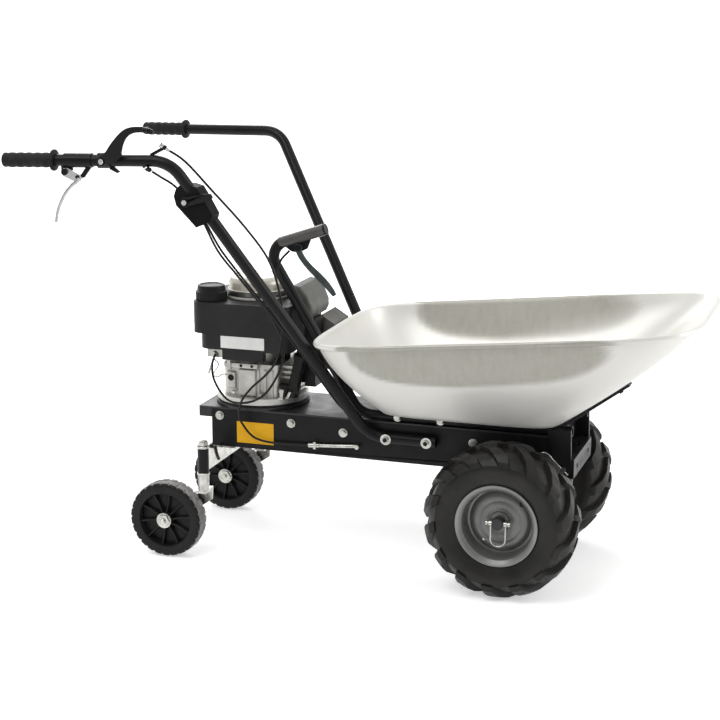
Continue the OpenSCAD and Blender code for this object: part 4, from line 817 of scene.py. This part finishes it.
# Small plated fittings: sleeve bands, flanged caster nuts, cable adjusters and the throttle screw
SWIVEL_X, BAND_HEIGHTS = -682, (195.2, 256.6)
band = [(0, 12.3), (0, 13.6), (0.6, 14.1), (4.6, 14.1), (5.2, 13.6), (5.2, 12.3)]
nut = [(-5, 1), (-5, 4.6), (-3.8, 6), (0.4, 6.2), (0.4, 12.6), (1.2, 13.4), (4, 13.4), (4.2, 17.4),
       (7, 18.2), (7.4, 18.2), (7.4, 7)]
adjuster = [(-13, 2), (-13, 4.6), (-11, 5.6), (-6, 5.6), (-4, 4.2), (6, 4), (7, 3.4), (10, 3.2), (10, 2)]
screw = [(0.1, 1), (0.1, 5), (0.6, 5.4), (1.8, 5.4), (2.4, 4.9), (2.5, 3.3), (1.8, 2.8), (1.8, 1)]
forms = [(band, row(SWIVEL_X, side * CASTER_Y, height), UP, ALONG, 40)
         for side in (-1, 1) for height in BAND_HEIGHTS]
turned_piece("sleeve_bands", forms, zinc, "chassis", "zinc", ring=True)
for side_name, side in SIDES:
    nut_end = row(CASTER_X, side * CASTER_Y - CASTER_HALF - 8, CASTER_R)
    forms = [(nut, nut_end, ACROSS, ALONG, 36)]
    turned_piece("caster_nut_" + side_name, forms, zinc, "caster_swivel_" + side_name, "zinc")
forms = []
for route in (drive_route, brake_route):
    start, following = (row(x, -y, z) for x, y, z in route[:2])
    forms.append((adjuster, start, following - start, ACROSS, 20))
LEG_FOOT, THROTTLE_Z, SCREW_BACK, SCREW_OUT = Vector((-318, 107.5, 297)), 823, 20, 28.6
leg_share = (THROTTLE_Z - LEG_FOOT.z) / (TOP_CORNER.z - LEG_FOOT.z)
throttle_at = LEG_FOOT + (TOP_CORNER - LEG_FOOT) * leg_share
screw_place = row(throttle_at.x - SCREW_BACK, -throttle_at.y - SCREW_OUT, throttle_at.z)
forms.append((screw, screw_place, OUT_RIGHT, ALONG, 32))
turned_piece("cable_fittings", forms, polished, "chassis", "zinc")

# Fuel cap: fluted lower tier and a dished top
CAP_RIBS = 30
cap_profile = [(0.6, 20.4), (0.6, 33.6), (1.6, 34.8), (4, 35), (18, 35), (20, 34.4), (20.8, 32.6),
               (21.6, 31.6), (31, 30.8), (33.4, 29.8), (34.6, 27.4), (34.2, 24), (32.6, 22.6), (32.6, 5)]


def cap_grip(along, radius, angle):
    """Radius of the fuel cap, fluted round its lower tier."""
    if 3 < along < 19 and radius > 32:
        return radius - 1.4 * max(0.0, math.cos(angle * CAP_RIBS)) ** 2
    return radius


points, faces = [], []
lathe(points, faces, cap_profile, row(-697, -78, 572), UP, ALONG, CAP_RIBS * 8, cap_grip)
cap = mesh_object("fuel_cap_shell", points, faces, plastic, "fuel_cap", "black_plastic")
soften(cap)
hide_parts("fuel_cap")

# Release lever: slender curved arm on the tip handle's pivot
RELEASE_X, RELEASE_Z = -485.0, 702.0
RELEASE_OUT = 85.0 + EAR_HALF + FACE_GAP
release_line = [(-1, 0, 1.0), (4, -14, 0.95), (14, -29, 0.9), (28, -44, 0.95), (46, -60, 1.05),
                (62, -75, 1.0), (76, -91, 0.85), (83, -101, 0.6)]
collar = [(0, PIN_R), (0, 8.6), (0.6, 9), (LEVER_T - 0.6, 9), (LEVER_T, 8.6), (LEVER_T, PIN_R)]
line = [(row(RELEASE_X + x, -RELEASE_OUT - LEVER_T / 2, RELEASE_Z + z), wide)
        for x, z, wide in smooth_points([Vector(v) for v in release_line])]
points, faces = [], []
sweep(points, faces, line, oval(15, 8), Vector(OUT_RIGHT))
release_pivot = row(RELEASE_X, -RELEASE_OUT, RELEASE_Z)
lathe(points, faces, collar, release_pivot, OUT_RIGHT, UP, 32, ring=True)
release = mesh_object("release_lever_arm", points, faces, pewter, "release_lever", "zinc")
soften(release)
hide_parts("release_lever")


# Crankcase on the control side: top flange, bright cover, dark discs painted as the shade in its holes,
# studs and governor link
def slab_piece(points, faces, low, high, taper):
    """Adds a block between two corners in mm, its outer face drawn in by a taper."""
    first = len(points)
    for y, pull in ((high[1], 0.0), (low[1], taper)):
        for x, z in ((low[0] + pull, low[2] + pull), (high[0] - pull, low[2] + pull),
                     (high[0] - pull, high[2] - pull), (low[0] + pull, high[2] - pull)):
            points.append(row(x, y, z))
    for quad in ((0, 1, 2, 3), (7, 6, 5, 4), (0, 4, 5, 1), (1, 5, 6, 2), (2, 6, 7, 3), (3, 7, 4, 0)):
        faces.append(tuple(first + k for k in quad))


points, faces = [], []
slab_piece(points, faces, (-667, -88, 421), (-585, -74, 434), 0.8)
slab_piece(points, faces, (-634, -85, 357), (-590, -74, 420.6), 2.5)
slab_piece(points, faces, (-664, -82, 372), (-640, -74, 412), 3.0)
cover = mesh_object("crankcase_cover", points, faces, cast_alloy, "chassis", "cast_alloy", smooth=False)
soften(cover, 1.6)

# Dark discs painted as the shade inside the crankcase's holes and inside the sockets of the bolts at the
# handlebar feet
hole_shade = [(0, 0.6), (0, 3.4), (0.5, 3.6), (0.8, 3.4), (0.8, 0.6)]
port_shade = [(0, 1), (0, 7), (0.6, 7.4), (1.2, 7), (1.2, 1)]
socket_shade = [(0, 0.6), (0, 4.8), (0.5, 5.0), (0.8, 4.8), (0.8, 0.6)]
forms = [(hole_shade, row(x, -87.8, 427.5), OUT_RIGHT, ALONG, 20) for x in (-652, -625, -599)]
forms.append((port_shade, row(-652, -81.4, 397), OUT_RIGHT, ALONG, 24))
for x in (-185, -276):
    for side in (-1, 1):
        forms.append((socket_shade, row(x, side * 127, 297), (0, side, 0), ALONG, 24))
turned_piece("crankcase_hole_shades", forms, plastic, "chassis", "black_plastic")

# Studs and screws of the engine, and the thin link of its governor
LINK_R = 0.0014
stud = [(0, 1), (0, 10), (3, 10.4), (3.4, 7.4), (14, 7.2), (14.4, 9.6), (22, 9.4), (24, 7), (24, 1)]
spigot = [(0, 1), (0, 6.5), (2, 6.8), (2.4, 4.4), (16, 4.2), (16.6, 2)]
hexagon = [(0, 1), (0, 5), (0.6, 5.4), (3, 5.2), (3.6, 4), (3.6, 1)]
forms = [(stud, row(-532, -78, 357), (0.12, 0, 1), ALONG, 6)]
forms.append((spigot, row(-516, -84, 362), (0.5, -0.1, 1), ALONG, 24))
for x, z in ((-645, 366), (-580, 362), (-645, 350)):
    forms.append((hexagon, row(x, -84, z), OUT_RIGHT, ALONG, 6))
turned_piece("engine_studs", forms, zinc, "chassis", "zinc")
link_route = ((-688, -94, 441), (-676, -95, 428), (-690, -94, 404), (-678, -94, 400), (-668, -92, 406),
              (-655, -86, 404))
curve_tube("governor_link", smooth_points([row(*v) for v in link_route]), LINK_R, zinc, "chassis")


def rounded_path(path, bends, steps=10):
    """Points along a path whose inner corners are rounded to the given radii."""
    line = [path[0]]
    for before, corner, after, bend in zip(path, path[1:], path[2:], bends):
        into, away = unit(corner - before), unit(after - corner)
        turn = into.angle(away)
        inward = unit(away - into * into.dot(away))
        start = corner - into * bend * math.tan(turn / 2)
        for k in range(steps + 1):
            a = turn * k / steps
            line.append(start + bend * (math.sin(a) * into + (1 - math.cos(a)) * inward))
    return line + [path[-1]]


# Painted tube over the tip handle, with a lighter grey tube over its upper part
TIP_TUBE_R, TIP_UPPER_R, TIP_BEND = 0.0124, 0.0128, 37
tip_path = [Vector(v) for v in ((-372, -85, 385), (-563, -85, 698), (-423, -85, 745))]
tip_line = [row(*v) for v in rounded_path(tip_path, [TIP_BEND])]
curve_tube("tip_handle_tube", tip_line, TIP_TUBE_R, black_paint, "tub")
grip_line = [row(*tip_path[1].lerp(tip_path[2], share)) for share in (0.24, 0.4, 0.6, 0.8, 0.97)]
curve_tube("tip_handle_upper_tube", grip_line, TIP_UPPER_R, upper_tube_grey, "tub")

# Dark bent strip on the front face of the caster cross plate
STRIP_X, STRIP_R = -679.6, 0.0036
strip_line = [row(STRIP_X, y, z) for y, z in ((-114.4, 243), (-110.4, 232), (-103, 218), (-95, 208.5))]
curve_tube("cross_plate_strip", smooth_points(strip_line), STRIP_R, black_paint, "chassis")

# Wire clips through the ends of the tipping pivots
CLIP_R = 0.0019
along_clip, across_clip = unit((-1, 0, 0.95)), unit((-0.95, 0, -1))
clip_shape = [(-15, 0), (10, 0), (30, 0), (44, -1), (54, 3), (57, 10), (53, 17), (45, 18), (36, 14),
              (26, 9.5), (16, 11), (6, 9.2), (-4, 12), (-11, 17)]
for side_name, side in SIDES:
    middle = Vector((112, side * 107, 261))
    line = [row(*(middle + along_clip * a + across_clip * b)) for a, b in clip_shape]
    clip = curve_tube("pivot_clip_" + side_name, smooth_points(line), CLIP_R, zinc, "chassis")
    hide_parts("pivot_clips")


# Floor: white to the camera, with less glow near the object for its shadow, and darker to -Y in reflections
FLOOR_REACH, FLOOR_DROP = 60.0, 0.0005
NEAR_GLOW, FAR_GLOW, NEAR_END, FAR_START = 0.42, 1.0, 0.9, 4.0
FRONT_SHADE, FRONT_Y, MIDDLE_Y = 0.35, -2.2, -0.3
floor_mesh = bpy.data.meshes.new("floor")
corners = [(x * FLOOR_REACH, y * FLOOR_REACH, 0) for x, y in ((-1, -1), (1, -1), (1, 1), (-1, 1))]
floor_mesh.from_pydata(corners, [], [(0, 1, 2, 3)])
floor = bpy.data.objects.new("floor", floor_mesh)
bpy.context.scene.collection.objects.link(floor)
floor.location.z = -FLOOR_DROP
made, tree, shader = material("floor_white")
shader.inputs["Roughness"].default_value = 0.9
shader.inputs["Specular IOR Level"].default_value = 0.0
rays = tree.nodes.new("ShaderNodeLightPath").outputs
coords = tree.nodes.new("ShaderNodeTexCoord")
distance = tree.nodes.new("ShaderNodeVectorMath")
distance.operation = "LENGTH"
tree.links.new(coords.outputs["Object"], distance.inputs[0])
glow_level = spread(tree, distance.outputs["Value"], NEAR_GLOW, FAR_GLOW, NEAR_END, FAR_START)
front_dark = spread(tree, place_along(tree, "Y"), FRONT_SHADE, 1.0, FRONT_Y, MIDDLE_Y)
camera_part = calculate(tree, "MULTIPLY", rays["Is Camera Ray"], glow_level)
seen_dark = calculate(tree, "MULTIPLY", glow_level, front_dark)
glossy_part = calculate(tree, "MULTIPLY", rays["Is Glossy Ray"], seen_dark)
glow = add(tree, "ShaderNodeEmission", Color=(1, 1, 1, 1))
tree.links.new(calculate(tree, "ADD", camera_part, glossy_part), glow.inputs["Strength"])
lost_light = calculate(tree, "SUBTRACT", 1.0, front_dark)
dim = calculate(tree, "MULTIPLY", rays["Is Glossy Ray"], lost_light)
tree.links.new(colour_mix(tree, dim, (0.9, 0.9, 0.9), (0.2, 0.2, 0.2)), shader.inputs["Base Color"])
both = tree.nodes.new("ShaderNodeAddShader")
tree.links.new(shader.outputs["BSDF"], both.inputs[0])
tree.links.new(glow.outputs["Emission"], both.inputs[1])
tree.links.new(both.outputs["Shader"], tree.nodes["Material Output"].inputs["Surface"])
floor_mesh.materials.append(made)

# World: white to the camera, dimmer as light, and darker to -Y in reflections
SKY_LIGHT = 0.58
SKY_SHADE, SKY_FRONT, SKY_BACK = 0.22, -0.85, 0.15
world = bpy.data.worlds.new("studio")
bpy.context.scene.world = world
world.use_nodes = True
tree = world.node_tree
rays = tree.nodes.new("ShaderNodeLightPath").outputs
graded = spread(tree, place_along(tree, "Y", "Generated"), SKY_SHADE, 1.0, SKY_FRONT, SKY_BACK)
glossy_change = calculate(tree, "SUBTRACT", graded, SKY_LIGHT)
glossy_part = calculate(tree, "MULTIPLY", rays["Is Glossy Ray"], glossy_change)
camera_part = calculate(tree, "MULTIPLY", rays["Is Camera Ray"], 1.0 - SKY_LIGHT)
level = calculate(tree, "ADD", calculate(tree, "ADD", camera_part, glossy_part), SKY_LIGHT)
tree.nodes["Background"].inputs["Color"].default_value = (1, 1, 1, 1)
tree.links.new(level, tree.nodes["Background"].inputs["Strength"])


# Lamps
def area_light(name, place, target, size, power):
    """Adds a square lamp that faces a target, with its size in metres."""
    data = bpy.data.lights.new(name, "AREA")
    data.shape = "SQUARE"
    data.size = size
    data.energy = power
    made = bpy.data.objects.new(name, data)
    made.location = place
    made.rotation_euler = (Vector(target) - Vector(place)).to_track_quat("-Z", "Y").to_euler()
    bpy.context.scene.collection.objects.link(made)


area_light("key", place=(-0.8, -2.0, 3.4), target=(0.0, 0.0, 0.4), size=2.2, power=55)
area_light("right", place=(3.2, 0.2, 1.6), target=(0.2, 0.0, 0.3), size=2.0, power=38)
area_light("back", place=(-1.8, 2.6, 2.4), target=(0.0, 0.0, 0.5), size=2.0, power=50)

# Camera at the photograph's angle
SENSOR_MM, LENS_MM = 36.0, 86.475
LOOK_DOWN, LOOK_ASIDE = 13.4, 18.4
view = bpy.data.cameras.new("camera")
view.sensor_width = SENSOR_MM
view.lens = LENS_MM
camera = bpy.data.objects.new("camera", view)
camera.location = (1.1359, -3.5588, 1.3331)
camera.rotation_euler = (math.radians(90 - LOOK_DOWN), 0, math.radians(LOOK_ASIDE))
bpy.context.scene.collection.objects.link(camera)
bpy.context.scene.camera = camera
bpy.context.scene.view_settings.view_transform = "Standard"
